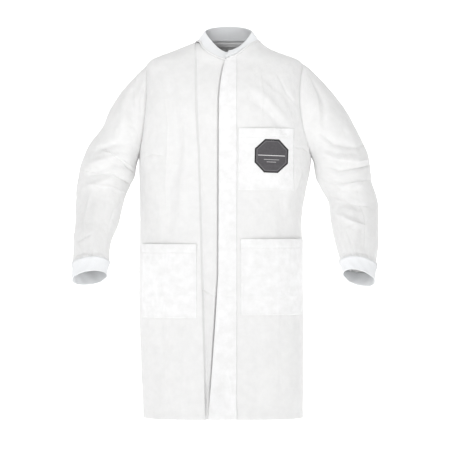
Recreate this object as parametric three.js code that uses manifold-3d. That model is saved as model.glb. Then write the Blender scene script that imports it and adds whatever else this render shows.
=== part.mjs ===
// Long-sleeved lab coat of thin nonwoven cloth: concealed snap front, knitted stand collar, knitted cuffs,
// a chest pocket with a badge patch and two hip pockets. It hangs as it does on a wearer.
// Millimetres, +Z up, +X to the wearer's left, -Y to the front. The origin is the middle of the neck,
// level with the seam that joins the collar to the back.
import * as THREE from "three";
import { mergeVertices } from "three/addons/utils/BufferGeometryUtils.js";
import Module from "manifold-3d";

const wasm = await Module();
wasm.setup();

// ---- Driving sizes: body -------------------------------------------------------------------------------
const coatLength = 1050; // neck seam to hem
const neckHalfWidth = 86;
const neckFrontDepth = 60; // neck opening, from its middle to the throat side
const neckBackDepth = 58;
const frontNeckDrop = 54; // the throat lies this far below the neck seam at the back
const sideNeckDrop = 0;
const shoulderHalfWidth = 219;
const shoulderDrop = 62;
const chestHalfWidth = 241;
const armpitDrop = 322;
const waistHalfWidth = 227;
const waistDrop = 505;
const hipHalfWidth = 231;
const hipDrop = 690;
const hemHalfWidth = 224;
const chestFrontDepth = 130;
const hemFrontDepth = 140;
const chestBackDepth = 118;
const hemBackDepth = 128;
const shoulderSway = -13; // the shoulders lie this far towards the wearer's right
const waistSway = -24;
const hemSway = -18;
const clothThickness = 1.2;
const seamGap = 0.3; // half the clearance between two neighbouring pieces

// ---- Driving sizes: front opening ----------------------------------------------------------------------
const placketSeam = 20; // the fly is stitched down along this line
const frontEdgeTop = -12; // free edge of the wearer's left front, at the throat
const frontEdgeChest = -29;
const frontEdgeHem = -58;
const frontSplit = 300; // below this drop both front edges swing open
const underlapEdge = -6; // free edge of the wearer's right front, under the fly
const rightEdgeTop = -97; // fold of the wearer's right front
const rightEdgeSplit = -88;
const rightEdgeHem = -68;
const hingeGap = 1.5; // clearance between a swinging edge and the panel it swings on

// ---- Driving sizes: snaps ------------------------------------------------------------------------------
const snapCount = 5;
const firstSnapDrop = 93;
const snapPitch = 150;
const flyMargin = 7; // the fly reaches this far below the middle of the last snap
const flyLength = firstSnapDrop + (snapCount - 1) * snapPitch + flyMargin; // drop of the end of the fly
const snapInset = 8; // from the free edge to the middle of a snap
const capRadius = 5.6;
const socketRadius = 5;
const studTipRadius = 1.75;
const shankRadius = 1;
const snapClearance = 0.35;
const headThickness = 0.9; // cap, stud flange and post flange
const socketThickness = 1.8;

// ---- Driving sizes: collar, sleeves, pockets, badge ----------------------------------------------------
const collarRim = { halfWidth: 66, frontDepth: 60, backDepth: 46 }; // the band's upper edge, from above
const collarRise = { throat: -33, side: 25, back: 44 }; // heights of the upper edge above the back neck seam
const collarThickness = 2;
const collarLap = 3.4; // the wearer's left end of the collar passes this far in front of the other
const tapeWidth = 12;
const sleeveLength = 560; // armpit level to the start of the cuff, along the drop
const sleeveSpread = 200; // how far the sleeve leans away from the shoulder
const armholeDepth = 74;
const armholeBite = { left: 0.5, right: 0.36, back: 0.62 }; // in radians, into each front and into the back
const elbowHalfDepth = 68;
const wristHalfDepth = 47;
const forearmReach = 96; // the wrist is this far in front of the shoulder
const cuffLength = 42;
const cuffTaper = 4;
const chestPocket = { left: 24, right: 178, top: 247, bottom: 418, bulge: 8 };
const leftPocket = { left: 30, right: 207, top: 552, bottom: 762, bulge: 10 };
const rightPocket = { left: -243, right: -90, top: 566, bottom: 770, bulge: 10 };
const badgeWidth = 92;
const badgeCentre = { across: 115, drop: 324 };
const badgeThickness = 0.9;
const layerGap = 0.45; // between layers of cloth that lie on each other

// ---- Looks ---------------------------------------------------------------------------------------------
const nonwoven = { color: 0xf1f3f5, roughness: 0.85, metalness: 0 };
const ribKnit = { color: 0xe9ebee, roughness: 0.95, metalness: 0 };
const snapPlastic = { color: 0xf4f4f0, roughness: 0.35, metalness: 0 };
const badgeBlack = { color: 0x504e52, roughness: 0.6, metalness: 0 };

const coat = new THREE.Group();

function addPiece(name, look, geometry) {
  const mesh = new THREE.Mesh(geometry, new THREE.MeshStandardMaterial(look));
  mesh.name = name;
  coat.add(mesh);
  return mesh;
}

// ---- Curves and closed sheets --------------------------------------------------------------------------

// A smooth curve through [place, value] points that never overshoots them, carried on straight past its ends.
function profile(points) {
  const slopes = points.slice(1).map(([x, y], i) => (y - points[i][1]) / (x - points[i][0]));
  const tangents = points.map((_, i) => {
    const before = slopes[Math.max(0, i - 1)];
    const after = slopes[Math.min(slopes.length - 1, i)];
    return before * after <= 0 ? 0 : (2 * before * after) / (before + after);
  });
  return (x) => {
    const last = points.length - 1;
    if (x <= points[0][0]) return points[0][1] + tangents[0] * (x - points[0][0]);
    if (x >= points[last][0]) return points[last][1] + tangents[last] * (x - points[last][0]);
    const i = points.findIndex(([place]) => place > x) - 1;
    const span = points[i + 1][0] - points[i][0];
    const t = (x - points[i][0]) / span;
    const rise = points[i][1] + t * t * (3 - 2 * t) * (points[i + 1][1] - points[i][1]);
    const lean = t * (1 - t) * ((1 - t) * tangents[i] - t * tangents[i + 1]) * span;
    return rise + lean;
  };
}

function steps(from, to, count) {
  return Array.from({ length: count + 1 }, (_, i) => from + ((to - from) * i) / count);
}

function solidVolume(position, index) {
  const a = new THREE.Vector3();
  const b = new THREE.Vector3();
  const c = new THREE.Vector3();
  let volume = 0;
  for (let i = 0; i < index.length; i += 3) {
    a.fromBufferAttribute(position, index[i]);
    b.fromBufferAttribute(position, index[i + 1]);
    c.fromBufferAttribute(position, index[i + 2]);
    volume += a.dot(b.cross(c)) / 6;
  }
  return volume;
}

// A closed solid between two skins. skinAt(side, u, v) gives a point of the outer (0) or inner (1) skin;
// us and vs are the grid lines, and a ring joins its last column to its first.
function sheet(skinAt, us, vs, ring = false) {
  const points = [];
  for (const side of [0, 1]) {
    for (const v of vs) {
      for (const u of us) points.push(skinAt(side, u, v));
    }
  }
  const at = (side, i, j) => (side * vs.length + i) * us.length + (j % us.length);
  const index = [];
  const quad = (a, b, c, d) => index.push(a, b, c, a, c, d);
  const columns = ring ? us.length : us.length - 1;
  const rows = vs.length - 1;
  for (let i = 0; i < rows; i++) {
    for (let j = 0; j < columns; j++) {
      quad(at(0, i, j), at(0, i + 1, j), at(0, i + 1, j + 1), at(0, i, j + 1));
      quad(at(1, i, j), at(1, i, j + 1), at(1, i + 1, j + 1), at(1, i + 1, j));
    }
  }
  for (let j = 0; j < columns; j++) {
    quad(at(0, 0, j), at(0, 0, j + 1), at(1, 0, j + 1), at(1, 0, j));
    quad(at(0, rows, j), at(1, rows, j), at(1, rows, j + 1), at(0, rows, j + 1));
  }
  if (!ring) {
    for (let i = 0; i < rows; i++) {
      quad(at(0, i, 0), at(1, i, 0), at(1, i + 1, 0), at(0, i + 1, 0));
      quad(at(0, i, columns), at(0, i + 1, columns), at(1, i + 1, columns), at(1, i, columns));
    }
  }
  const geometry = new THREE.BufferGeometry().setFromPoints(points);
  if (solidVolume(geometry.attributes.position, index) < 0) {
    for (let i = 0; i < index.length; i += 3) [index[i], index[i + 1]] = [index[i + 1], index[i]];
  }
  geometry.setIndex(index);
  return geometry;
}

function toSolid(geometry) {
  const bare = geometry.clone();
  for (const name of Object.keys(bare.attributes)) {
    if (name !== "position") bare.deleteAttribute(name);
  }
  const merged = mergeVertices(bare, 1e-4);
  return new wasm.Manifold(
    new wasm.Mesh({
      numProp: 3,
      vertProperties: merged.attributes.position.array,
      triVerts: new Uint32Array(merged.index.array),
    }),
  );
}

function withoutHoles(geometry, cutters) {
  let solid = toSolid(geometry);
  for (const cutter of cutters) solid = solid.subtract(toSolid(cutter));
  const mesh = solid.getMesh();
  const position = new THREE.BufferAttribute(mesh.vertProperties, 3);
  const index = new THREE.BufferAttribute(mesh.triVerts, 1);
  return new THREE.BufferGeometry().setAttribute("position", position).setIndex(index);
}

// ---- The body surface ----------------------------------------------------------------------------------

const halfWidthAt = profile([
  [sideNeckDrop, neckHalfWidth],
  [0.35 * shoulderDrop, neckHalfWidth + 0.33 * (shoulderHalfWidth - neckHalfWidth)],
  [0.92 * shoulderDrop, neckHalfWidth + 0.95 * (shoulderHalfWidth - neckHalfWidth)],
  [1.25 * shoulderDrop, shoulderHalfWidth + 4],
  [armpitDrop, chestHalfWidth],
  [waistDrop, waistHalfWidth],
  [hipDrop, hipHalfWidth],
  [coatLength, hemHalfWidth],
]);
const frontDepthAt = profile([
  [sideNeckDrop, neckFrontDepth],
  [frontNeckDrop, neckFrontDepth + 20],
  [100, neckFrontDepth + 43],
  [150, neckFrontDepth + 61],
  [frontSplit - 90, chestFrontDepth],
  [frontSplit, chestFrontDepth + 2],
  [coatLength, hemFrontDepth],
]);
const backDepthAt = profile([
  [sideNeckDrop, neckBackDepth],
  [60, neckBackDepth + 36],
  [170, chestBackDepth],
  [waistDrop, chestBackDepth - 2],
  [coatLength, hemBackDepth],
]);
const swayAt = profile([
  [sideNeckDrop, 0.2 * shoulderSway],
  [0.4 * shoulderDrop, 1.15 * shoulderSway],
  [shoulderDrop, shoulderSway],
  [armpitDrop, -12],
  [waistDrop, waistSway],
  [coatLength, hemSway],
]);
const squarenessAt = profile([
  [0, 2],
  [frontNeckDrop, 2.2],
  [armpitDrop, 2.5],
  [coatLength, 2.5],
]);

// The seam that the collar is sewn to: a V at the throat, level round the back.
function necklineDrop(angle) {
  const front = Math.cos(angle) > 0 ? (1 - Math.abs(Math.sin(angle))) ** 1.7 : 0;
  return sideNeckDrop * (1 - Math.max(0, -Math.cos(angle))) + (frontNeckDrop - sideNeckDrop) * front;
}

// A point of the body at an angle from the front centre, positive to the wearer's left, and a drop.
function bodySurface(angle, drop) {
  const power = 2 / squarenessAt(drop);
  const sine = Math.sin(angle);
  const cosine = Math.cos(angle);
  const depth = cosine > 0 ? frontDepthAt(drop) : backDepthAt(drop);
  const x = swayAt(drop) + halfWidthAt(drop) * Math.sign(sine) * Math.abs(sine) ** power;
  const y = -depth * Math.sign(cosine) * Math.abs(cosine) ** power;
  return new THREE.Vector3(x, y, -drop);
}

function bodyPoint(angle, drop, lift = 0) {
  const turn = 0.02;
  const fall = 2;
  const across = bodySurface(angle + turn, drop).sub(bodySurface(angle - turn, drop));
  const up = bodySurface(angle, drop - fall).sub(bodySurface(angle, drop + fall));
  return bodySurface(angle, drop).addScaledVector(across.cross(up).normalize(), lift);
}

// The angle at which the front of the body crosses a place across the coat.
function angleAt(across, drop) {
  const share = (across - swayAt(drop)) / halfWidthAt(drop);
  const sine = Math.min(1, Math.abs(share)) ** (squarenessAt(drop) / 2);
  return Math.sign(share) * Math.asin(sine);
}

// The turn about the body that keeps a piece the seam gap clear of a side seam.
function seamTurn(drop) {
  return Math.asin((seamGap / frontDepthAt(drop)) ** (squarenessAt(drop) / 2));
}

// How far the armhole bites into the left or right front or the back, at a share of its height.
function armholeTurn(share, side) {
  const open = 2 * Math.sqrt(Math.max(0, share * (1 - share)));
  return armholeBite[side] * (armholeDepth / 74) * open ** 1.1;
}

// How far from the front or back centre a panel reaches at a drop: a side seam with the armhole cut out.
function panelReach(drop, side) {
  const share = (drop - shoulderDrop) / (armpitDrop - shoulderDrop);
  const inArmhole = share > 0 && share < 1;
  return Math.PI / 2 - seamTurn(drop) - (inArmhole ? armholeTurn(share, side) : 0);
}

// The drops of a panel's rows, close together where the shoulder and the armhole bend.
const shoulderRows = [0.02, 0.35, 0.7, 1].map((share) => share * shoulderDrop);
const armholeRows = steps(0, Math.PI, 10)
  .slice(1)
  .map((turn) => shoulderDrop + ((armpitDrop - shoulderDrop) * (1 - Math.cos(turn))) / 2);
const skirtRows = steps(armpitDrop, coatLength, 8).slice(1);
const panelRows = [...shoulderRows, ...armholeRows, ...skirtRows];

// A row starts at the neckline and levels out below it.
function rowDrop(row, angle) {
  const neck = necklineDrop(angle) + 1;
  const blend = Math.max(0, 1 - row / (2.6 * frontNeckDrop));
  return row + (neck - shoulderRows[0]) * blend;
}

// The row that crosses the front centre at a drop.
function rowAtFront(drop) {
  const neck = frontNeckDrop + 1 - shoulderRows[0];
  return (drop - neck) / (1 - neck / (2.6 * frontNeckDrop));
}

// Where a row crosses a line down the coat. The drop depends on the angle and the line's angle on the drop, so
// the two are found by turns.
function settledDrop(row, angleOn) {
  let drop = rowDrop(row, 0);
  for (let turn = 0; turn < 8; turn += 1) drop = rowDrop(row, angleOn(drop));
  return drop;
}

// A panel between two edges, each given as an angle at a drop. The cloth hangs inwards from the surface.
function panel(fromAt, toAt, columns, rows, lift = 0, thickness = clothThickness) {
  const skinAt = (side, u, row) => {
    const angleOn = (drop) => fromAt(drop) + u * (toAt(drop) - fromAt(drop));
    const drop = settledDrop(row, angleOn);
    const raised = (typeof lift === "function" ? lift(u, row) : lift) - side * thickness;
    return bodyPoint(angleOn(drop), drop, raised);
  };
  return sheet(skinAt, steps(0, 1, columns), rows);
}

// ---- Back and fronts -----------------------------------------------------------------------------------

const leftEdgeAcross = profile([
  [frontNeckDrop, frontEdgeTop],
  [90, frontEdgeTop - 8],
  [130, frontEdgeChest + 3],
  [170, frontEdgeChest],
  [flyLength - 60, frontEdgeChest - 2],
  [flyLength, frontEdgeChest - 5],
  [coatLength, frontEdgeHem],
]);

function rightEdgeAcross(drop) {
  const top = Math.min(1, drop / frontSplit);
  const below = Math.max(0, (drop - frontSplit) / (coatLength - frontSplit));
  return rightEdgeTop + (rightEdgeSplit - rightEdgeTop) * top ** 3 + (rightEdgeHem - rightEdgeSplit) * below;
}

const back = Math.PI;
addPiece(
  "back_panel",
  nonwoven,
  panel((drop) => back - panelReach(drop, "back"), (drop) => back + panelReach(drop, "back"), 20, panelRows),
);
addPiece(
  "left_front_panel",
  nonwoven,
  panel(
    (drop) => angleAt(placketSeam + hingeGap / 2, drop),
    (drop) => panelReach(drop, "left"),
    9,
    panelRows,
  ),
);
addPiece(
  "right_front_panel",
  nonwoven,
  panel(
    (drop) => -panelReach(drop, "right"),
    (drop) => angleAt(rightEdgeAcross(drop) - hingeGap / 2, drop),
    8,
    panelRows,
  ),
);

// ---- Front strips --------------------------------------------------------------------------------------
// Depths below the outer surface, from the outside in: placket, snap cap, fly strip, socket, stud,
// snap strip, post, underlap.
const capDepth = clothThickness + layerGap;
const flyDepth = capDepth + headThickness + layerGap;
const socketDepth = flyDepth + clothThickness + layerGap;
const studDepth = socketDepth + socketThickness + layerGap;
const snapStripDepth = studDepth + headThickness + layerGap;
const postDepth = snapStripDepth + clothThickness + layerGap;
const underlapDepth = postDepth + headThickness + layerGap;

const snapDrops = steps(0, snapCount - 1, snapCount - 1).map((i) => firstSnapDrop + i * snapPitch);
const aroundFirstSnap = [-2.2, 0, 2.2].map((share) => rowAtFront(firstSnapDrop + share * capRadius));
const upperRows = [shoulderRows[0], 20, ...aroundFirstSnap, 100, 150, 200, 250, frontSplit - hingeGap / 2];
const lowerRows = steps(frontSplit + hingeGap / 2, flyLength, 5);
const flapRows = [...lowerRows, ...steps(flyLength, coatLength, 4).slice(1)];

// A strip beside the front opening, between two places across the coat.
function strip(fromAcross, toAcross, rows, depth, thickness = clothThickness) {
  const skinAt = (side, u, row) => {
    const angleOn = (drop) => angleAt(fromAcross(drop) + u * (toAcross(drop) - fromAcross(drop)), drop);
    const drop = settledDrop(row, angleOn);
    return bodyPoint(angleOn(drop), drop, -depth - side * thickness);
  };
  return sheet(skinAt, steps(0, 1, 4), rows);
}

const placketInner = () => placketSeam - hingeGap / 2;
const flyOuter = (drop) => leftEdgeAcross(drop) + 1.5;
const flyInner = () => placketSeam - 8;
const snapStripOuter = (drop) => rightEdgeAcross(drop) + hingeGap / 2;
const underlapInner = () => underlapEdge;

addPiece("left_placket_upper", nonwoven, strip(leftEdgeAcross, placketInner, upperRows, 0));
addPiece("left_placket_lower", nonwoven, strip(leftEdgeAcross, placketInner, flapRows, 0));
addPiece("right_underlap_upper", nonwoven, strip(snapStripOuter, underlapInner, upperRows, underlapDepth));
addPiece("right_underlap_lower", nonwoven, strip(snapStripOuter, underlapInner, flapRows, underlapDepth));

// ---- Snaps ---------------------------------------------------------------------------------------------

const snapSides = 10;

// Turns a profile of [radius, depth] points into a piece of a snap, pointing out of the coat at its place.
function turned(outline, across, drop) {
  const points = outline.map(([radius, depth]) => new THREE.Vector2(radius, -depth));
  const outwards = bodyPoint(angleAt(across, drop), drop, 1).sub(bodyPoint(angleAt(across, drop), drop));
  const turn = new THREE.Quaternion().setFromUnitVectors(new THREE.Vector3(0, 1, 0), outwards);
  const place = bodyPoint(angleAt(across, drop), drop);
  const geometry = new THREE.LatheGeometry(points, snapSides).applyQuaternion(turn);
  return geometry.translate(place.x, place.y, place.z);
}

const shankEnd = socketDepth + 0.35;
const boreRadius = studTipRadius + snapClearance;
const holeRadius = shankRadius + snapClearance;
const studTop = shankEnd + 0.4;
const postTop = studDepth + 0.2;
// Profiles run from the inner end of the piece to its outer end, so their faces point outwards.
const capOutline = [
  [0, shankEnd],
  [shankRadius, shankEnd],
  [shankRadius, capDepth + headThickness],
  [capRadius, capDepth + headThickness],
  [capRadius, capDepth + 0.45 * headThickness],
  [0.75 * capRadius, capDepth],
  [0, capDepth],
];
const socketOutline = [
  [boreRadius, socketDepth],
  [boreRadius, socketDepth + socketThickness],
  [socketRadius, socketDepth + socketThickness],
  [socketRadius, socketDepth],
  [boreRadius, socketDepth],
];
const studOutline = [
  [0, postTop - snapClearance],
  [holeRadius, postTop - snapClearance],
  [holeRadius, studDepth + headThickness],
  [socketRadius - 0.2, studDepth + headThickness],
  [socketRadius - 0.2, studDepth],
  [studTipRadius, studDepth],
  [studTipRadius, studTop + 0.3],
  [studTipRadius - 0.3, studTop],
  [0, studTop],
];
const postOutline = [
  [0, postDepth + headThickness],
  [capRadius - 0.8, postDepth + headThickness],
  [capRadius - 0.8, postDepth],
  [shankRadius, postDepth],
  [shankRadius, postTop],
  [0, postTop],
];

const flyCutters = [];
const stripCutters = [];
for (const [i, drop] of snapDrops.entries()) {
  const across = leftEdgeAcross(drop) + snapInset;
  const pieces = { cap: capOutline, socket: socketOutline, stud: studOutline, post: postOutline };
  for (const [part, outline] of Object.entries(pieces)) {
    addPiece("snap_" + part + "_" + (i + 1), snapPlastic, turned(outline, across, drop));
  }
  const hole = (depth) => [
    [0, depth + clothThickness + 0.5],
    [holeRadius, depth + clothThickness + 0.5],
    [holeRadius, depth - 0.5],
    [0, depth - 0.5],
  ];
  flyCutters.push({ drop, cutter: turned(hole(flyDepth), across, drop) });
  stripCutters.push({ drop, cutter: turned(hole(snapStripDepth), across, drop) });
}
const above = (cutters) => cutters.filter(({ drop }) => drop < frontSplit).map(({ cutter }) => cutter);
const below = (cutters) => cutters.filter(({ drop }) => drop > frontSplit).map(({ cutter }) => cutter);
const flyStrip = (rows) => strip(flyOuter, flyInner, rows, flyDepth);
const snapStrip = (rows) => strip(snapStripOuter, underlapInner, rows, snapStripDepth);

addPiece("left_fly_upper", nonwoven, withoutHoles(flyStrip(upperRows), above(flyCutters)));
addPiece("left_fly_lower", nonwoven, withoutHoles(flyStrip(lowerRows), below(flyCutters)));
addPiece("right_snap_strip_upper", nonwoven, withoutHoles(snapStrip(upperRows), above(stripCutters)));
addPiece("right_snap_strip_lower", nonwoven, withoutHoles(snapStrip(lowerRows), below(stripCutters)));

// ---- Collar --------------------------------------------------------------------------------------------

// The band runs once round the neck from the wearer's right end, under the fly, to the left end over it.
const rightEnd = angleAt(underlapEdge + 14, frontNeckDrop);
const leftEnd = angleAt(frontEdgeTop, frontNeckDrop) - 2 * Math.PI;

function collarPoint(angle, height, lift) {
  const nearLeftEnd = Math.max(0, 1 - (angle - leftEnd) / 0.9);
  const nearRightEnd = Math.max(0, 1 - (rightEnd - angle) / 0.9);
  const lap = (share) => collarLap * share ** 2 * (3 - 2 * share);
  const front = Math.max(0, Math.cos(angle));
  const behind = Math.max(0, -Math.cos(angle));
  const rise =
    collarRise.side -
    (collarRise.side - collarRise.throat) * front ** 2 +
    (collarRise.back - collarRise.side) * behind;
  const depth = front > 0 ? collarRim.frontDepth : collarRim.backDepth;
  const foot = bodySurface(angle, necklineDrop(angle)).add(new THREE.Vector3(0, 0, 0.4));
  const across = swayAt(sideNeckDrop) + collarRim.halfWidth * Math.sin(angle);
  const slope = new THREE.Vector3(across, -depth * Math.cos(angle), rise).sub(foot);
  const outwards = new THREE.Vector3(Math.sin(angle), -Math.cos(angle), 0);
  const drawnIn = -slope.dot(outwards);
  const normal = outwards.multiplyScalar(slope.z).add(new THREE.Vector3(0, 0, drawnIn)).normalize();
  const layer = lift + lap(nearLeftEnd) - lap(nearRightEnd);
  return foot.addScaledVector(slope, height).addScaledVector(normal, layer);
}

addPiece(
  "collar_band",
  ribKnit,
  sheet(
    (side, angle, height) => collarPoint(angle, height, 1 - side * collarThickness),
    steps(rightEnd, leftEnd, 44),
    [1, 0.66, 0.33, 0.06],
  ),
);
addPiece(
  "neck_seam_tape",
  nonwoven,
  sheet(
    (side, angle, width) =>
      bodyPoint(angle, necklineDrop(angle) + 1.5 + width, -clothThickness - layerGap - side * clothThickness),
    steps(-Math.PI / 2 - 0.9, -Math.PI * 1.5 + 0.9, 20),
    [0, tapeWidth],
  ),
);

// ---- Pockets and badge ---------------------------------------------------------------------------------

// A patch sewn on down both sides and along the bottom, standing off the coat towards its open mouth.
function pocketLift(pocket, u, v) {
  return layerGap + clothThickness + pocket.bulge * Math.sin(Math.PI * u) ** 0.7 * (1 - v ** 3);
}

function pocketPoint(pocket, u, v, lift) {
  const drop = pocket.top + v * (pocket.bottom - pocket.top);
  const from = angleAt(pocket.left, drop);
  const to = angleAt(pocket.right, drop);
  return bodyPoint(from + u * (to - from), drop, pocketLift(pocket, u, v) + lift);
}

function pocketPiece(pocket) {
  const skinAt = (side, u, v) => pocketPoint(pocket, u, v, -side * clothThickness);
  return sheet(skinAt, steps(0, 1, 10), steps(0, 1, 6));
}

addPiece("chest_pocket", nonwoven, pocketPiece(chestPocket));
addPiece("left_hip_pocket", nonwoven, pocketPiece(leftPocket));
addPiece("right_hip_pocket", nonwoven, pocketPiece(rightPocket));

// An octagon: full width over its middle rows, narrowing to its top and bottom sides.
const octagonSide = Math.tan(Math.PI / 8);

function badgePoint(side, u, v) {
  const halfRow = Math.min(1, 1 + octagonSide - Math.abs(v));
  const across = badgeCentre.across + (u * halfRow * badgeWidth) / 2;
  const drop = badgeCentre.drop + (v * badgeWidth) / 2;
  const pocketV = (drop - chestPocket.top) / (chestPocket.bottom - chestPocket.top);
  const from = angleAt(chestPocket.left, drop);
  const to = angleAt(chestPocket.right, drop);
  const pocketU = (angleAt(across, drop) - from) / (to - from);
  return pocketPoint(chestPocket, pocketU, pocketV, layerGap + 0.4 + badgeThickness * (1 - side));
}

addPiece(
  "badge_patch",
  badgeBlack,
  sheet(badgePoint, steps(-1, 1, 8), [-1, -0.7, -octagonSide, -0.14, 0.14, octagonSide, 0.7, 1]),
);

// ---- Sleeves -------------------------------------------------------------------------------------------
// Stations along a sleeve: the inner edge from the armpit and the outer edge from the shoulder point, each
// as [share of the spread outwards, share of the length down], and the way the arm comes forward.
const sleeves = {
  left: {
    inner: [[0, 0], [0.03, 0.02], [0.05, 0.06], [0.075, 0.11], [0.15, 0.165], [0.24, 0.225], [0.28, 0.34],
      [0.33, 0.43], [0.4, 0.525]],
    outer: [[0, 0], [0.415, 0.184], [0.62, 0.309], [0.83, 0.479], [0.87, 0.595], [0.955, 0.707],
      [0.95, 0.791], [0.945, 0.889], [0.9, 1.014]],
  },
  right: {
    inner: [[0, 0], [0.02, 0.015], [0.04, 0.045], [0.06, 0.093], [0.13, 0.143], [0.21, 0.214],
      [0.28, 0.33], [0.38, 0.42], [0.42, 0.527]],
    outer: [[0, 0], [0.49, 0.188], [0.655, 0.318], [0.865, 0.425], [0.98, 0.541], [1.02, 0.675],
      [1.02, 0.777], [1.04, 0.88], [1.04, 1.005]],
  },
};
const reach = [0, 0, -0.01, -0.03, -0.02, 0.1, 0.36, 0.64, 0.92];
const armholeStation = 0;
const fullStation = 1.6; // from here on the sleeve is a plain tube
const elbowStation = 4;
const cuffStation = 8;

const halfDepthAt = profile([
  [armholeStation, armholeDepth],
  [1, armholeDepth + 6],
  [2, armholeDepth + 2],
  [elbowStation, elbowHalfDepth],
  [6, (elbowHalfDepth + wristHalfDepth) / 2],
  [cuffStation, wristHalfDepth],
]);

function sleeveFrame(name) {
  const hand = name === "left" ? 1 : -1;
  const pointAt = (share, base, axis) =>
    profile(share.map((point, station) => [station, base + point[axis] * (axis ? sleeveLength : sleeveSpread)]));
  const armpitOut = chestHalfWidth + hand * swayAt(armpitDrop);
  const shoulderOut = shoulderHalfWidth + 4;
  const sleeve = sleeves[name];
  return {
    hand,
    innerOut: pointAt(sleeve.inner, armpitOut, 0),
    innerDrop: pointAt(sleeve.inner, armpitDrop, 1),
    outerOut: pointAt(sleeve.outer, shoulderOut, 0),
    outerDrop: pointAt(sleeve.outer, shoulderDrop, 1),
    forward: profile(reach.map((share, station) => [station, share * forearmReach])),
  };
}

// The armhole's edge in the body, a little way into the hole, at a turn from its top towards the front.
function armholePoint(hand, turn) {
  const share = (1 - Math.cos(turn)) / 2;
  const drop = shoulderDrop + (armpitDrop - shoulderDrop) * share;
  const front = Math.sin(turn) >= 0;
  const side = hand > 0 ? "left" : "right";
  const angle = Math.PI / 2 - (front ? 1 : -1) * armholeTurn(share, front ? side : "back");
  const edge = bodySurface(hand * angle, drop);
  const centreDrop = (shoulderDrop + armpitDrop) / 2;
  const inwards = new THREE.Vector3(edge.x, 0, -centreDrop).sub(edge).normalize();
  return edge.addScaledVector(inwards, 3).add(new THREE.Vector3(hand * 3, 0, 0));
}

function tubePoint(frame, turn, station) {
  const inner = new THREE.Vector3(frame.hand * frame.innerOut(station), 0, -frame.innerDrop(station));
  const outer = new THREE.Vector3(frame.hand * frame.outerOut(station), 0, -frame.outerDrop(station));
  const centre = inner.clone().add(outer).multiplyScalar(0.5);
  const lateral = outer.sub(inner).multiplyScalar(0.5);
  const step = 0.7; // the bend of the arm is spread over this many stations each way
  const slope = (frame.forward(station + step) - frame.forward(station - step)) / (2 * step);
  const fall = (frame.innerDrop(station + step) - frame.innerDrop(station - step)) / (2 * step);
  const tilt = Math.atan2(slope, Math.max(fall, 40)) * Math.min(1, station / elbowStation);
  const frontwards = new THREE.Vector3(0, -Math.cos(tilt), Math.sin(tilt));
  centre.y = -frame.forward(station);
  return centre
    .addScaledVector(lateral, Math.cos(turn))
    .addScaledVector(frontwards, halfDepthAt(station) * Math.sin(turn));
}

function sleeveSurface(frame, turn, station) {
  const tube = tubePoint(frame, turn, station);
  if (station >= fullStation) return tube;
  const share = Math.max(0, station / fullStation);
  return armholePoint(frame.hand, turn).lerp(tube, 1 - (1 - share) ** 2);
}

function sleevePoint(frame, turn, station, lift) {
  const around = sleeveSurface(frame, turn + 0.05, station).sub(sleeveSurface(frame, turn - 0.05, station));
  const from = Math.max(armholeStation, station - 0.1);
  const along = sleeveSurface(frame, turn, station + 0.1).sub(sleeveSurface(frame, turn, from));
  const outwards = around.cross(along).normalize().multiplyScalar(frame.hand);
  return sleeveSurface(frame, turn, station).addScaledVector(outwards, -lift);
}

const aroundSleeve = steps(0, 2 * Math.PI, 20).slice(0, -1);
const elbowGap = 0.03; // in stations

for (const name of ["left", "right"]) {
  const frame = sleeveFrame(name);
  const tube = (look, piece, stations, taper = 0) =>
    addPiece(
      name + "_" + piece,
      look,
      sheet(
        (side, turn, station) =>
          sleevePoint(frame, turn, station, side * clothThickness * (taper ? 2 : 1) + taper),
        aroundSleeve,
        stations,
        true,
      ),
    );
  tube(nonwoven, "sleeve_upper", [0, 0.3, 0.7, 1.15, 1.6, 2.2, 2.8, 3.4, elbowStation - elbowGap]);
  tube(nonwoven, "sleeve_lower", [elbowStation + elbowGap, 4.6, 5.3, 6, 6.7, 7.4, cuffStation]);
  const top = cuffStation + 0.015;
  tube(ribKnit, "cuff", [top, cuffStation + (0.5 * cuffLength) / 70, cuffStation + cuffLength / 70], cuffTaper);
}

export default coat;
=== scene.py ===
"""Looks of a knee-length nonwoven lab coat with knitted collar and cuffs, laid out as a Blender add-on."""

import math

import bpy
import numpy as np
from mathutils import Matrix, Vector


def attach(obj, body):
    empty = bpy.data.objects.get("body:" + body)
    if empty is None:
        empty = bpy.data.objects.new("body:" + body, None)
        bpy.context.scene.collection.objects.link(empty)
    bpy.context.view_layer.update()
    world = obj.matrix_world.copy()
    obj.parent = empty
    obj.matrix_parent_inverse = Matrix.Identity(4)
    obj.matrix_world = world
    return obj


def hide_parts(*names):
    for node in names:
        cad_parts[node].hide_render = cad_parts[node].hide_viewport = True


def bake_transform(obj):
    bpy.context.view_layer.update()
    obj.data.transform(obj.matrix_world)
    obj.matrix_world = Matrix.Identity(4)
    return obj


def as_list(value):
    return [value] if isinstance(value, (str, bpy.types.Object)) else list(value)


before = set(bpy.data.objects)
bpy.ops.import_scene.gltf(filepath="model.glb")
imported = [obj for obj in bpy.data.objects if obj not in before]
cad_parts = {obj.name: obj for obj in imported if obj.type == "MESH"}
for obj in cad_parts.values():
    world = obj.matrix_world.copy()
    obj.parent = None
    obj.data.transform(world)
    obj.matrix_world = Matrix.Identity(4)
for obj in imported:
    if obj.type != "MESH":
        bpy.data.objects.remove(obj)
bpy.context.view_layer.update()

bl_info = {
    "name": "Lab coat",
    "version": (1, 0, 0),
    "blender": (4, 5, 0),
    "location": "View3D > Sidebar > Lab coat",
    "description": "Builds the cloth, knit bands, snaps, pockets and patch of a lab coat round its frame",
    "category": "Add Mesh",
}

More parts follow.
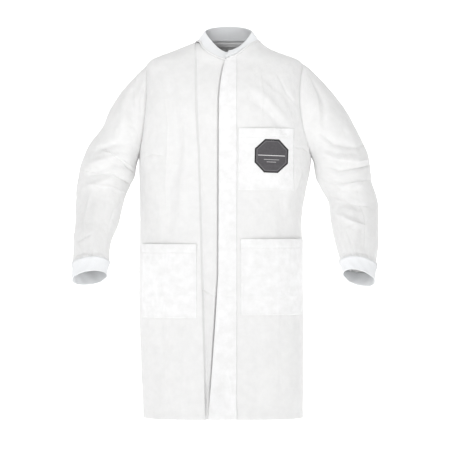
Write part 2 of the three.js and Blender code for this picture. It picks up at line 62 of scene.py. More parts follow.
TURN_STEP = 0.02  # radians, for slopes of the surface across
DROP_STEP = 0.002  # metres, for slopes of the surface down
ARC_RADIUS = 0.15  # metres along the cloth for each radian, near the armhole
SEAM_DIP = 0.0016
SEAM_WIDTH = 0.0035
SOLVING_TURNS = 8  # rounds in which a row's drop and angle settle
DRAW_IN = 1.6  # stations over which the armhole's edge becomes the sleeve's tube
ELBOW, CUFF = 4, 8  # stations of the elbow and of the start of the cuff
STITCH_LIFT = 0.0003
KNIT_WALL = 0.0005
HEM_ROLL = 0.0011  # radius of the turned hem
FULL_TURN = 2 * math.pi
FIRST_SNAP, SNAP_PITCH, SNAPS_END = 0.093, 0.15, 0.72  # drops of the snaps under the placket
FLARE_START, FLARE_RUN = 0.90, 0.15  # where the placket's free edge starts to stand off, and over how far


# ---- Sizes and colours ---------------------------------------------------------------------------------


def length(name, default, description):
    """A length property in metres."""
    return bpy.props.FloatProperty(
        name=name, default=default, description=description, min=-2.0, max=2.0, precision=4, unit="LENGTH"
    )


def share(name, default, description):
    """A plain number property."""
    return bpy.props.FloatProperty(name=name, default=default, description=description)


def colour(name, default, description):
    """A colour property."""
    return bpy.props.FloatVectorProperty(
        name=name, default=default, description=description, size=4, min=0.0, max=1.0, subtype="COLOR"
    )


class CoatBodySizes(bpy.types.PropertyGroup):
    """Sizes of the coat's body."""

    coat_length: length("Coat length", 1.05, "Neck seam to hem")
    neck_half_width: length("Neck half width", 0.086, "Half the neck opening's width")
    neck_front_depth: length("Neck front depth", 0.06, "Middle of the neck to its front")
    neck_back_depth: length("Neck back depth", 0.058, "Middle of the neck to its back")
    front_neck_drop: length("Throat drop", 0.054, "The throat below the back neck seam")
    side_neck_drop: length("Side neck drop", 0.0, "The side of the neck below the back neck seam")
    shoulder_half_width: length("Shoulder half width", 0.219, "Middle to the shoulder point")
    shoulder_drop: length("Shoulder drop", 0.062, "The shoulder point below the neck seam")
    chest_half_width: length("Chest half width", 0.241, "Middle to the side seam at the armpit")
    armpit_drop: length("Armpit drop", 0.322, "The armpit below the neck seam")
    waist_half_width: length("Waist half width", 0.227, "Middle to the side seam at the waist")
    waist_drop: length("Waist drop", 0.505, "The waist below the neck seam")
    hip_half_width: length("Hip half width", 0.231, "Middle to the side seam at the hip")
    hip_drop: length("Hip drop", 0.69, "The hip below the neck seam")
    hem_half_width: length("Hem half width", 0.224, "Middle to the side seam at the hem")
    chest_front_depth: length("Chest front depth", 0.13, "Middle to the front of the chest")
    hem_front_depth: length("Hem front depth", 0.14, "Middle to the front of the hem")
    chest_back_depth: length("Chest back depth", 0.118, "Middle to the back of the chest")
    hem_back_depth: length("Hem back depth", 0.128, "Middle to the back of the hem")
    shoulder_sway: length("Shoulder sway", -0.013, "Lean of the shoulders to one side")
    waist_sway: length("Waist sway", -0.024, "Lean of the waist to one side")
    hem_sway: length("Hem sway", -0.018, "Lean of the hem to one side")
    cloth: length("Cloth thickness", 0.0006, "Thickness of one layer of cloth")
    crumple: length("Crumple height", 0.0011, "Height of the paper-like crumple of the cloth")


class CoatFrontSizes(bpy.types.PropertyGroup):
    """Sizes of the front opening."""

    placket_seam: length("Placket seam", 0.02, "Line that the placket is sewn down along")
    edge_top: length("Edge at the throat", -0.012, "Free edge of the left front at the throat")
    edge_chest: length("Edge at the chest", -0.029, "Free edge of the left front at the chest")
    edge_hem: length("Edge at the hem", -0.058, "Free edge of the left front at the hem")
    split: length("Split", 0.3, "Drop below which both edges swing")
    fly_length: length("Fly length", 0.7, "Drop of the end of the concealed fly")
    underlap_edge: length("Underlap edge", -0.006, "Free edge of the right front")
    right_top: length("Right fold, top", -0.097, "Fold of the right front at the neck")
    right_split: length("Right fold, split", -0.088, "Fold of the right front at the split")
    right_hem: length("Right fold, hem", -0.068, "Fold of the right front at the hem")
    fly_depth: length("Fly depth", 0.003, "Fly strip below the outer surface")
    strip_depth: length("Snap strip depth", 0.00825, "Snap strip below the outer surface")
    underlap_depth: length("Underlap depth", 0.01125, "Underlap below the outer surface")


class CoatTrimSizes(bpy.types.PropertyGroup):
    """Sizes of the collar, cuffs, pockets, patch and stitching."""

    rim_half_width: length("Collar rim half width", 0.066, "Half the width of the band's upper edge")
    rim_front_depth: length("Collar rim front", 0.06, "Middle of the neck to the band's upper edge, in front")
    rim_back_depth: length("Collar rim back", 0.046, "Middle of the neck to the band's upper edge, behind")
    rise_throat: length("Collar rise, throat", -0.033, "Upper edge above the back neck seam, at the throat")
    rise_side: length("Collar rise, side", 0.025, "Upper edge above the back neck seam, at the side")
    rise_back: length("Collar rise, back", 0.044, "Upper edge above the back neck seam, at the back")
    collar_lap: length("Collar lap", 0.0034, "How far one collar end passes over the other")
    band_thickness: length("Band thickness", 0.0021, "Thickness of the folded knit band")
    rib_pitch: length("Rib pitch", 0.0027, "Distance between knit ribs")
    rib_height: length("Rib height", 0.0005, "Height of knit ribs")
    tape_width: length("Neck tape width", 0.012, "Width of the tape inside the neck")
    badge_width: length("Patch width", 0.092, "Width across the patch")
    badge_across: length("Patch place across", 0.115, "Middle of the patch, across the coat")
    badge_drop: length("Patch place down", 0.324, "Middle of the patch below the neck seam")
    mouth_hem: length("Pocket mouth hem", 0.024, "Depth of the hem folded inside a pocket's mouth")
    coat_hem: length("Hem", 0.014, "Depth of the hem folded inside the coat's lower edge")
    stitch: length("Stitch length", 0.0032, "Length of one stitch")
    thread: length("Thread width", 0.0005, "Width of the sewing thread")


class CoatSleeveSizes(bpy.types.PropertyGroup):
    """Sizes of the sleeves."""

    sleeve_length: length("Sleeve length", 0.56, "Armpit level to the start of the cuff")
    sleeve_spread: length("Sleeve spread", 0.2, "How far the sleeve leans away from the shoulder")
    armhole_depth: length("Armhole half depth", 0.074, "Half the front-to-back size at the armhole")
    left_bite: share("Left armhole bite", 0.5, "Radians that the armhole cuts into the left front")
    right_bite: share("Right armhole bite", 0.36, "Radians that the armhole cuts into the right front")
    back_bite: share("Back armhole bite", 0.62, "Radians that the armholes cut into the back")
    elbow_half_depth: length("Elbow half depth", 0.068, "Half the front-to-back size at the elbow")
    wrist_half_depth: length("Wrist half depth", 0.047, "Half the front-to-back size at the wrist")
    forearm_reach: length("Forearm reach", 0.096, "The wrist in front of the shoulder")
    cuff_length: length("Cuff length", 0.042, "Length of the folded knit cuff")
    cuff_taper: length("Cuff taper", 0.004, "How far the cuff draws in")


class CoatColours(bpy.types.PropertyGroup):
    """Colours of the coat's finishes."""

    cloth: colour("Cloth", (0.775, 0.774, 0.771, 1.0), "Nonwoven cloth")
    cloth_thick: colour("Cloth, fibre clouds", (0.83, 0.829, 0.826, 1.0), "Denser patches of the cloth")
    knit: colour("Knit", (0.79, 0.788, 0.785, 1.0), "Rib knit")
    # Painted shade: colour of the shaded grooves between knit ribs.
    knit_groove_shade: colour("Knit groove shade", (0.64, 0.638, 0.635, 1.0), "Painted shade in the grooves between ribs")
    plastic: colour("Snap plastic", (0.83, 0.83, 0.81, 1.0), "Moulded snaps")
    patch: colour("Patch", (0.078, 0.074, 0.08, 1.0), "Printed ground of the patch")
    patch_edge: colour("Patch edge", (0.012, 0.012, 0.013, 1.0), "Dark border of the patch")
    print_pale: colour("Patch print", (0.82, 0.82, 0.82, 1.0), "Pale print on the patch")
    thread: colour("Thread", (0.80, 0.80, 0.797, 1.0), "Sewing thread")
    floor: colour("Floor", (0.92, 0.92, 0.92, 1.0), "Floor and backdrop")


# ---- Curves, folds and crumple -------------------------------------------------------------------------


def curve(points):
    """A smooth curve through (place, value) points that never overshoots them, straight past its ends.

    Cubic Hermite pieces whose end slopes are the harmonic means of the slopes beside each point."""
    places, values = np.array(points, float).T
    slopes = np.diff(values) / np.diff(places)
    before = np.concatenate((slopes[:1], slopes))
    after = np.concatenate((slopes, slopes[-1:]))
    agree = before * after > 0
    tangents = np.where(agree, 2 * before * after / np.where(agree, before + after, 1), 0)

    def at(x):
        x = np.asarray(x, float)
        i = np.clip(np.searchsorted(places, x, side="right") - 1, 0, len(places) - 2)
        span = places[i + 1] - places[i]
        t = np.clip((x - places[i]) / span, 0, 1)
        rise = values[i] + t * t * (3 - 2 * t) * (values[i + 1] - values[i])
        lean = t * (1 - t) * ((1 - t) * tangents[i] - t * tangents[i + 1]) * span
        past = np.minimum(x - places[0], 0) * tangents[0] + np.maximum(x - places[-1], 0) * tangents[-1]
        return rise + lean + past

    return at


def ease(x):
    """Smooth step from 0 at 0 to 1 at 1."""
    t = np.clip(x, 0, 1)
    return t * t * (3 - 2 * t)


def unit(v):
    """Vectors scaled to length one."""
    return v / np.maximum(np.linalg.norm(v, axis=-1, keepdims=True), 1e-12)


def fold_height(x, drop, folds):
    """Height of folds laid over a plane: each is (points, width, height, sharp).

    Height times exp(-(d/width)^2) for a soft fold and exp(-d/width) for a sharp one, where d is the distance
    to the fold's line; it fades over the last fifth of the line at both ends."""
    total = np.zeros(np.broadcast(x, drop).shape)
    for points, width, height, sharp in folds:
        points = np.array(points, float)
        runs = np.linalg.norm(np.diff(points, axis=0), axis=1)
        starts = np.concatenate(([0], np.cumsum(runs)))
        best = np.full(total.shape, 1e9)
        along = np.zeros(total.shape)
        for (a, b), run, start in zip(zip(points[:-1], points[1:]), runs, starts):
            d = (b - a) / run
            t = np.clip((x - a[0]) * d[0] + (drop - a[1]) * d[1], 0, run)
            away = np.hypot(x - a[0] - t * d[0], drop - a[1] - t * d[1])
            along = np.where(away < best, start + t, along)
            best = np.minimum(best, away)
        share = along / starts[-1]
        fade = ease(share / 0.2) * ease((1 - share) / 0.2)
        shape = np.exp(-best / width) if sharp else np.exp(-((best / width) ** 2))
        total += height * shape * (0.25 + 0.75 * fade)
    return total


def crumple(p, size, seed, octaves=4):
    """Paper-like crumple at points p, from about -0.5 to 0.5.

    Sum over octaves of ridged plane waves |sin| in fixed random directions, each bent by a slower wave."""
    chance = np.random.default_rng(seed)
    total = np.zeros(p.shape[:-1])
    weight = 1.0
    whole = 0.0
    for octave in range(octaves):
        k = math.pi / (size * 0.56**octave)
        ways = unit(chance.normal(size=(5, 3)))
        bends = unit(chance.normal(size=(5, 3)))
        phases = chance.uniform(0, 6.28, (5, 2))
        for way, bend, phase in zip(ways, bends, phases):
            wave = np.sin(p @ way * k + phase[0] + 1.5 * np.sin(p @ bend * k * 0.6 + phase[1]))
            total += weight * (0.5 - np.sqrt(wave * wave + 0.02))
            whole += weight
        weight *= 0.55
    return total / whole


FRONT_FOLDS = [
    ([(-0.150, 0.075), (-0.128, 0.17), (-0.132, 0.30), (-0.150, 0.44)], 0.005, -0.0018, True),
    ([(-0.185, 0.11), (-0.170, 0.24), (-0.178, 0.40), (-0.172, 0.54)], 0.005, 0.0020, True),
    ([(-0.250, 0.330), (-0.215, 0.318), (-0.185, 0.322)], 0.004, -0.0020, True),
    ([(0.232, 0.318), (0.205, 0.300), (0.182, 0.300)], 0.004, -0.0024, True),
    ([(0.236, 0.335), (0.200, 0.365), (0.182, 0.42)], 0.0045, 0.0024, True),
    ([(0.085, 0.085), (0.092, 0.160), (0.088, 0.235)], 0.0045, 0.0016, True),
    ([(0.130, 0.090), (0.160, 0.150), (0.196, 0.190)], 0.0045, -0.0018, True),
    ([(-0.177, 0.085), (-0.15, 0.20), (-0.138, 0.29), (-0.16, 0.42), (-0.165, 0.56)], 0.015, -0.0048, False),
    ([(-0.148, 0.09), (-0.116, 0.24), (-0.128, 0.38), (-0.135, 0.50)], 0.015, 0.0036, False),
    ([(0.050, 0.125), (0.105, 0.165), (0.165, 0.235)], 0.011, 0.0034, False),
    ([(0.060, 0.165), (0.110, 0.205), (0.160, 0.27)], 0.010, -0.0030, False),
    ([(0.095, 0.105), (0.15, 0.15), (0.19, 0.215)], 0.012, -0.0026, False),
    ([(-0.235, 0.347), (-0.17, 0.349), (-0.10, 0.346)], 0.0045, 0.0011, True),
    ([(0.02, 0.346), (0.12, 0.349), (0.235, 0.346)], 0.0045, 0.0011, True),
    ([(-0.25, 0.710), (-0.10, 0.709)], 0.005, 0.0012, True),
    ([(0.02, 0.709), (0.22, 0.711)], 0.005, 0.0012, True),
    ([(-0.172, 0.46), (-0.176, 0.70), (-0.17, 1.05)], 0.004, -0.0010, True),
    ([(0.128, 0.46), (0.137, 0.70), (0.13, 1.05)], 0.004, 0.0012, True),
    ([(-0.120, 0.78), (-0.128, 1.05)], 0.020, 0.0040, False),
    ([(-0.200, 0.80), (-0.21, 1.05)], 0.018, -0.0036, False),
    ([(0.075, 0.80), (0.082, 1.05)], 0.020, -0.0036, False),
    ([(0.170, 0.78), (0.178, 1.05)], 0.022, 0.0040, False),
    ([(0.145, 0.43), (0.155, 0.50), (0.15, 0.57)], 0.020, -0.0036, False),
    ([(0.215, 0.36), (0.17, 0.42), (0.15, 0.50)], 0.012, 0.0030, False),
    ([(-0.235, 0.36), (-0.20, 0.43), (-0.185, 0.52)], 0.012, 0.0030, False),
]
BACK_FOLDS = [
    ([(-0.15, 0.12), (-0.10, 0.26), (-0.09, 0.45)], 0.016, 0.0040, False),
    ([(0.15, 0.12), (0.10, 0.27), (0.085, 0.46)], 0.016, 0.0040, False),
    ([(-0.17, 0.34), (-0.10, 0.42), (-0.02, 0.47)], 0.012, -0.0034, False),
    ([(0.17, 0.35), (0.09, 0.43), (0.01, 0.49)], 0.012, -0.0034, False),
    ([(-0.24, 0.347), (0.23, 0.348)], 0.0045, 0.0011, True),
    ([(-0.25, 0.709), (0.22, 0.711)], 0.005, 0.0012, True),
    ([(0.0, 0.08), (-0.004, 1.05)], 0.004, -0.0011, True),
    ([(-0.16, 0.62), (-0.17, 1.05)], 0.024, 0.0055, False),
    ([(-0.05, 0.66), (-0.055, 1.05)], 0.024, -0.0050, False),
    ([(0.07, 0.64), (0.075, 1.05)], 0.024, 0.0055, False),
    ([(0.16, 0.68), (0.165, 1.05)], 0.022, -0.0045, False),
]
LEFT_SLEEVE_FOLDS = [
    ([(0.216, 0.094), (0.243, 0.150), (0.252, 0.245)], 0.0045, -0.0026, True),
    ([(0.250, 0.262), (0.290, 0.292), (0.352, 0.300), (0.395, 0.278)], 0.0045, 0.0042, True),
    ([(0.255, 0.305), (0.300, 0.330), (0.360, 0.338), (0.405, 0.325)], 0.0040, -0.0044, True),
    ([(0.262, 0.352), (0.305, 0.366), (0.372, 0.352), (0.420, 0.338)], 0.0042, 0.0046, True),
    ([(0.270, 0.392), (0.318, 0.402), (0.380, 0.392)], 0.0036, -0.0036, True),
    ([(0.285, 0.436), (0.325, 0.452), (0.386, 0.462)], 0.0040, 0.0042, True),
    ([(0.300, 0.482), (0.340, 0.505), (0.378, 0.515)], 0.0034, -0.0030, True),
    ([(0.355, 0.42), (0.376, 0.50), (0.372, 0.60)], 0.0036, 0.0026, True),
    ([(0.322, 0.52), (0.336, 0.57), (0.338, 0.625)], 0.0032, 0.0024, True),
    ([(0.330, 0.600), (0.352, 0.590), (0.380, 0.596)], 0.0030, 0.0022, True),
    ([(0.326, 0.622), (0.350, 0.614), (0.384, 0.620)], 0.0026, -0.0020, True),
    ([(0.225, 0.100), (0.262, 0.180), (0.262, 0.26)], 0.010, 0.0045, False),
    ([(0.245, 0.250), (0.285, 0.285), (0.345, 0.30)], 0.009, 0.0048, False),
    ([(0.240, 0.300), (0.290, 0.325), (0.360, 0.33)], 0.008, -0.0045, False),
    ([(0.255, 0.345), (0.300, 0.365), (0.375, 0.355)], 0.009, 0.0050, False),
    ([(0.262, 0.385), (0.310, 0.41), (0.385, 0.40)], 0.008, -0.0045, False),
    ([(0.262, 0.42), (0.30, 0.45), (0.38, 0.47)], 0.009, 0.0050, False),
    ([(0.27, 0.46), (0.31, 0.49), (0.37, 0.52)], 0.009, -0.0035, False),
    ([(0.345, 0.44), (0.365, 0.52), (0.362, 0.60)], 0.010, 0.0036, False),
    ([(0.295, 0.50), (0.315, 0.57), (0.325, 0.62)], 0.009, 0.0030, False),
    ([(0.320, 0.225), (0.350, 0.30), (0.36, 0.36)], 0.010, -0.0035, False),
]
RIGHT_SLEEVE_FOLDS = [
    ([(-0.251, 0.085), (-0.262, 0.125), (-0.264, 0.172)], 0.0045, -0.0036, True),
    ([(-0.236, 0.120), (-0.247, 0.165), (-0.246, 0.205)], 0.0040, 0.0022, True),
    ([(-0.262, 0.372), (-0.300, 0.336), (-0.330, 0.312), (-0.372, 0.296)], 0.0042, 0.0052, True),
    ([(-0.255, 0.366), (-0.318, 0.318), (-0.364, 0.306)], 0.0040, -0.0046, True),
    ([(-0.268, 0.404), (-0.322, 0.374), (-0.384, 0.376)], 0.0040, 0.0046, True),
    ([(-0.278, 0.430), (-0.330, 0.408), (-0.396, 0.400)], 0.0036, -0.0038, True),
    ([(-0.292, 0.446), (-0.320, 0.470), (-0.338, 0.530)], 0.0040, 0.0034, True),
    ([(-0.386, 0.430), (-0.402, 0.500), (-0.398, 0.580)], 0.0042, -0.0034, True),
    ([(-0.420, 0.560), (-0.400, 0.548), (-0.382, 0.540)], 0.0032, 0.0026, True),
    ([(-0.430, 0.628), (-0.402, 0.622), (-0.366, 0.616)], 0.0028, -0.0026, True),
    ([(-0.425, 0.598), (-0.398, 0.590), (-0.362, 0.600)], 0.0030, 0.0024, True),
    ([(-0.245, 0.095), (-0.272, 0.16), (-0.268, 0.24)], 0.010, 0.0050, False),
    ([(-0.262, 0.10), (-0.295, 0.18), (-0.300, 0.25)], 0.010, -0.0040, False),
    ([(-0.262, 0.295), (-0.32, 0.29), (-0.385, 0.315)], 0.009, 0.0055, False),
    ([(-0.258, 0.325), (-0.31, 0.322), (-0.39, 0.345)], 0.008, -0.0055, False),
    ([(-0.262, 0.355), (-0.32, 0.348), (-0.395, 0.378)], 0.009, 0.0055, False),
    ([(-0.265, 0.375), (-0.33, 0.385), (-0.40, 0.41)], 0.008, -0.0040, False),
    ([(-0.30, 0.41), (-0.34, 0.45), (-0.35, 0.52)], 0.010, 0.0036, False),
    ([(-0.40, 0.40), (-0.405, 0.50), (-0.395, 0.58)], 0.009, 0.0036, False),
    ([(-0.37, 0.45), (-0.375, 0.53), (-0.37, 0.60)], 0.009, -0.0030, False),
]
ARM_BACK_FOLDS = [
    ([(0.245, 0.14), (0.275, 0.22), (0.285, 0.30)], 0.012, 0.0040, False),
    ([(0.245, 0.33), (0.30, 0.32), (0.38, 0.29)], 0.010, -0.0040, False),
    ([(0.25, 0.37), (0.31, 0.365), (0.39, 0.34)], 0.010, 0.0045, False),
    ([(0.26, 0.41), (0.32, 0.41), (0.39, 0.39)], 0.010, -0.0040, False),
    ([(0.33, 0.44), (0.35, 0.53), (0.36, 0.61)], 0.012, 0.0036, False),
]


# ---- The coat's surfaces -------------------------------------------------------------------------------


class CoatShape:
    """The worn coat's surfaces, in metres, worked out for whole arrays of angles and drops."""

    def __init__(self):
        scene = bpy.context.scene
        b = self.b = scene.coat_body
        f = self.f = scene.coat_front
        self.t = scene.coat_trim
        s = self.s = scene.coat_sleeve
        self.top_row = 0.02 * b.shoulder_drop
        neck, shoulder = b.neck_half_width, b.shoulder_half_width
        self.half_width = curve(
            [
                (b.side_neck_drop, neck),
                (0.35 * b.shoulder_drop, neck + 0.33 * (shoulder - neck)),
                (0.92 * b.shoulder_drop, neck + 0.95 * (shoulder - neck)),
                (1.25 * b.shoulder_drop, shoulder + 0.004),
                (b.armpit_drop, b.chest_half_width),
                (b.waist_drop, b.waist_half_width),
                (b.hip_drop, b.hip_half_width),
                (b.coat_length, b.hem_half_width),
            ]
        )
        self.front_depth = curve(
            [
                (b.side_neck_drop, b.neck_front_depth),
                (b.front_neck_drop, b.neck_front_depth + 0.02),
                (0.1, b.neck_front_depth + 0.043),
                (0.15, b.neck_front_depth + 0.061),
                (f.split - 0.09, b.chest_front_depth),
                (f.split, b.chest_front_depth + 0.002),
                (b.coat_length, b.hem_front_depth),
            ]
        )
        self.back_depth = curve(
            [
                (b.side_neck_drop, b.neck_back_depth),
                (0.06, b.neck_back_depth + 0.036),
                (0.17, b.chest_back_depth),
                (b.waist_drop, b.chest_back_depth - 0.002),
                (b.coat_length, b.hem_back_depth),
            ]
        )
        self.sway = curve(
            [
                (b.side_neck_drop, 0.2 * b.shoulder_sway),
                (0.4 * b.shoulder_drop, 1.15 * b.shoulder_sway),
                (b.shoulder_drop, b.shoulder_sway),
                (b.armpit_drop, -0.012),
                (b.waist_drop, b.waist_sway),
                (b.coat_length, b.hem_sway),
            ]
        )
        self.squareness = curve(
            [(0, 2), (b.front_neck_drop, 2.2), (b.armpit_drop, 2.5), (b.coat_length, 2.5)]
        )
        self.left_edge = curve(
            [
                (b.front_neck_drop, f.edge_top),
                (0.09, f.edge_top - 0.008),
                (0.13, f.edge_chest + 0.003),
                (0.17, f.edge_chest),
                (f.fly_length - 0.06, f.edge_chest - 0.002),
                (f.fly_length, f.edge_chest - 0.005),
                (b.coat_length, f.edge_hem),
            ]
        )
        self.sleeve_half_depth = curve(
            [
                (0, s.armhole_depth),
                (1, s.armhole_depth + 0.006),
                (2, s.armhole_depth + 0.002),
                (4, s.elbow_half_depth),
                (6, (s.elbow_half_depth + s.wrist_half_depth) / 2),
                (8, s.wrist_half_depth),
            ]
        )

    def right_edge(self, drop):
        """Fold of the right front: a cubic lean down to the split, then straight to the hem."""
        f = self.f
        top = np.minimum(1, np.asarray(drop) / f.split)
        low = np.maximum(0, (np.asarray(drop) - f.split) / (self.b.coat_length - f.split))
        return f.right_top + (f.right_split - f.right_top) * top**3 + (f.right_hem - f.right_split) * low

    def neckline(self, angle):
        """Drop of the collar seam: level behind, a V at the throat."""
        b = self.b
        front = np.where(np.cos(angle) > 0, (1 - np.abs(np.sin(angle))) ** 1.7, 0)
        behind = np.maximum(0, -np.cos(angle))
        return b.side_neck_drop * (1 - behind) + (b.front_neck_drop - b.side_neck_drop) * front

    def row_drop(self, row, angle):
        """Drop of a row that starts along the neckline and levels out below it."""
        neck = self.neckline(angle) + 0.0005
        return row + (neck - self.top_row) * np.maximum(0, 1 - row / (2.6 * self.b.front_neck_drop))

    def settled_drop(self, row, angle_on):
        """Drop at which a row crosses lines down the coat, whose angle depends on it: found by turns."""
        drop = self.row_drop(row, 0.0)
        for _ in range(SOLVING_TURNS):
            drop = self.row_drop(row, angle_on(drop))
        return drop

    def surface(self, angle, drop):
        """Superellipse round the body: half width and depth times powers of the angle's sine and cosine."""
        power = 2 / self.squareness(drop)
        sine, cosine = np.sin(angle), np.cos(angle)
        depth = np.where(cosine > 0, self.front_depth(drop), self.back_depth(drop))
        x = self.sway(drop) + self.half_width(drop) * np.sign(sine) * np.abs(sine) ** power
        y = -depth * np.sign(cosine) * np.abs(cosine) ** power
        return np.stack(np.broadcast_arrays(x, y, -np.asarray(drop, float)), axis=-1)

    def outward(self, angle, drop):
        """Unit normal of the smooth surface, from its slopes across and up."""
        across = self.surface(angle + TURN_STEP, drop) - self.surface(angle - TURN_STEP, drop)
        up = self.surface(angle, drop - DROP_STEP) - self.surface(angle, drop + DROP_STEP)
        return unit(np.cross(across, up))

    def relief(self, angle, drop):
        """Height of folds and crumple over the smooth surface; the front strips and the neck lie flat."""
        p = self.surface(angle, drop)
        x = p[..., 0]
        cosine = np.cos(angle)
        beyond = (x - 0.016) / 0.03, (self.f.right_top - 0.002 - x) / 0.03
        strips = (1 - ease(beyond[0])) * (1 - ease(beyond[1])) * (cosine > 0)
        height = ease(cosine / 0.55) * fold_height(x, drop, FRONT_FOLDS)
        height += ease(-cosine / 0.55) * fold_height(x, drop, BACK_FOLDS)
        height += self.b.crumple * (2.8 * crumple(p, 0.075, 3, 5) + 1.5 * crumple(p, 0.03, 8, 3))
        below_neck = ease((drop - self.neckline(angle)) / 0.035)
        return height * (1 - strips) * below_neck + self.seam_dip(angle, drop)

    def skin(self, angle, drop, lift=0.0):
        """A point of the coat: the smooth surface raised along its normal by the relief and a lift."""
        raised = self.relief(angle, drop) + lift
        return self.surface(angle, drop) + self.outward(angle, drop) * np.asarray(raised)[..., None]

    def angle_at(self, across, drop):
        """Angle at which the front crosses a place across the coat."""
        share = (across - self.sway(drop)) / self.half_width(drop)
        sine = np.minimum(1, np.abs(share)) ** (self.squareness(drop) / 2)
        return np.sign(share) * np.arcsin(sine)

    def bite(self, angle):
        """The armhole's bite into whichever panel an angle lies on."""
        front = np.where(np.sin(angle) > 0, self.s.left_bite, self.s.right_bite)
        return np.where(np.cos(angle) >= 0, front, self.s.back_bite)

    def armhole_turn(self, share, bite):
        """How far the armhole bites into a panel, at a share of its height."""
        opened = 2 * np.sqrt(np.clip(share * (1 - share), 0, None))
        return bite * (self.s.armhole_depth / 0.074) * opened**1.1

    def hole_share(self, drop):
        """Share of the armhole's height at a drop."""
        return np.clip((drop - self.b.shoulder_drop) / (self.b.armpit_drop - self.b.shoulder_drop), 0, 1)

    def reach(self, drop, bite):
        """Angle from the front or back centre to the side seam, less the armhole."""
        return math.pi / 2 - self.armhole_turn(self.hole_share(drop), bite)

    def seam_dip(self, angle, drop):
        """Dip of the cloth along the line where the sleeve is sewn in."""
        share = self.hole_share(drop)
        turned = np.arccos(np.abs(np.cos(angle)))
        away = (self.reach(drop, self.bite(angle)) - turned) * ARC_RADIUS
        inside = ease(share / 0.06) * ease((1 - share) / 0.06)
        return -SEAM_DIP * np.exp(-((away / SEAM_WIDTH) ** 2)) * inside

    def rows(self, top_rows, hole_rows, skirt_rows):
        """Drops of a panel's rows, dense where the shoulder and the armhole bend."""
        b = self.b
        top = np.linspace(self.top_row, b.shoulder_drop, top_rows, endpoint=False)
        share = (1 - np.cos(np.linspace(0, math.pi, hole_rows))) / 2
        hole = b.shoulder_drop + (b.armpit_drop - b.shoulder_drop) * share
        skirt = np.linspace(b.armpit_drop, b.coat_length, skirt_rows)[1:]
        return np.concatenate((top, hole, skirt))

    def sleeve(self, hand):
        """Curves of one sleeve: its inner and outer edges and its reach forward, by station.

        hand is 1 for the wearer's left and -1 for the right."""
        b, s = self.b, self.s
        if hand > 0:
            inner = [(0, 0), (0.03, 0.02), (0.05, 0.06), (0.075, 0.11), (0.15, 0.165), (0.24, 0.225)]
            inner += [(0.28, 0.34), (0.33, 0.43), (0.4, 0.525)]
            outer = [(0, 0), (0.415, 0.184), (0.62, 0.309), (0.83, 0.479), (0.87, 0.595), (0.955, 0.707)]
            outer += [(0.95, 0.791), (0.945, 0.889), (0.9, 1.014)]
        else:
            inner = [(0, 0), (0.02, 0.015), (0.04, 0.045), (0.06, 0.093), (0.13, 0.143), (0.21, 0.214)]
            inner += [(0.28, 0.33), (0.38, 0.42), (0.42, 0.527)]
            outer = [(0, 0), (0.49, 0.188), (0.655, 0.318), (0.865, 0.425), (0.98, 0.541), (1.02, 0.675)]
            outer += [(1.02, 0.777), (1.04, 0.88), (1.04, 1.005)]
        forward = [0, 0, -0.01, -0.03, -0.02, 0.1, 0.36, 0.64, 0.92]
        armpit_out = b.chest_half_width + hand * float(self.sway(b.armpit_drop))
        shoulder_out = b.shoulder_half_width + 0.004

        def along(edge, base, axis, size):
            """A curve through one coordinate of an edge's points, one for each station."""
            return curve([(i, base + point[axis] * size) for i, point in enumerate(edge)])

        return {
            "hand": hand,
            "inner_out": along(inner, armpit_out, 0, s.sleeve_spread),
            "inner_drop": along(inner, b.armpit_drop, 1, s.sleeve_length),
            "outer_out": along(outer, shoulder_out, 0, s.sleeve_spread),
            "outer_drop": along(outer, b.shoulder_drop, 1, s.sleeve_length),
            "forward": curve([(i, share * s.forearm_reach) for i, share in enumerate(forward)]),
        }

    def armhole(self, hand, turn):
        """The armhole's edge on the body, at a turn from its top towards the front."""
        b = self.b
        share = (1 - np.cos(turn)) / 2
        drop = b.shoulder_drop + (b.armpit_drop - b.shoulder_drop) * share
        front = np.sin(turn) >= 0
        bite = np.where(front, self.s.left_bite if hand > 0 else self.s.right_bite, self.s.back_bite)
        angle = hand * (math.pi / 2 - np.where(front, 1, -1) * self.armhole_turn(share, bite))
        return self.skin(angle, drop)

    def tube(self, arm, turn, station):
        """Ellipse round the arm between its inner and outer edges, tilted with the bend of the arm."""
        hand = arm["hand"]
        zero = np.zeros(np.shape(station))
        inner = np.stack((hand * arm["inner_out"](station), zero, -arm["inner_drop"](station)), axis=-1)
        outer = np.stack((hand * arm["outer_out"](station), zero, -arm["outer_drop"](station)), axis=-1)
        centre, lateral = (inner + outer) / 2, (outer - inner) / 2
        step = 0.7
        slope = (arm["forward"](station + step) - arm["forward"](station - step)) / (2 * step)
        fall = (arm["inner_drop"](station + step) - arm["inner_drop"](station - step)) / (2 * step)
        tilt = np.arctan2(slope, np.maximum(fall, 0.04)) * np.minimum(1, station / 4)
        ahead = np.stack((zero, -np.cos(tilt), np.sin(tilt)), axis=-1)
        centre[..., 1] = -arm["forward"](station)
        depth = self.sleeve_half_depth(station) * np.sin(turn)
        return centre + lateral * np.cos(turn)[..., None] + ahead * depth[..., None]

    def sleeve_surface(self, arm, turn, station):
        """The armhole's edge drawn into the tube over the first stations."""
        hold = (1 - np.clip(station / DRAW_IN, 0, 1)[..., None]) ** 2
        return self.armhole(arm["hand"], turn) * hold + self.tube(arm, turn, station) * (1 - hold)

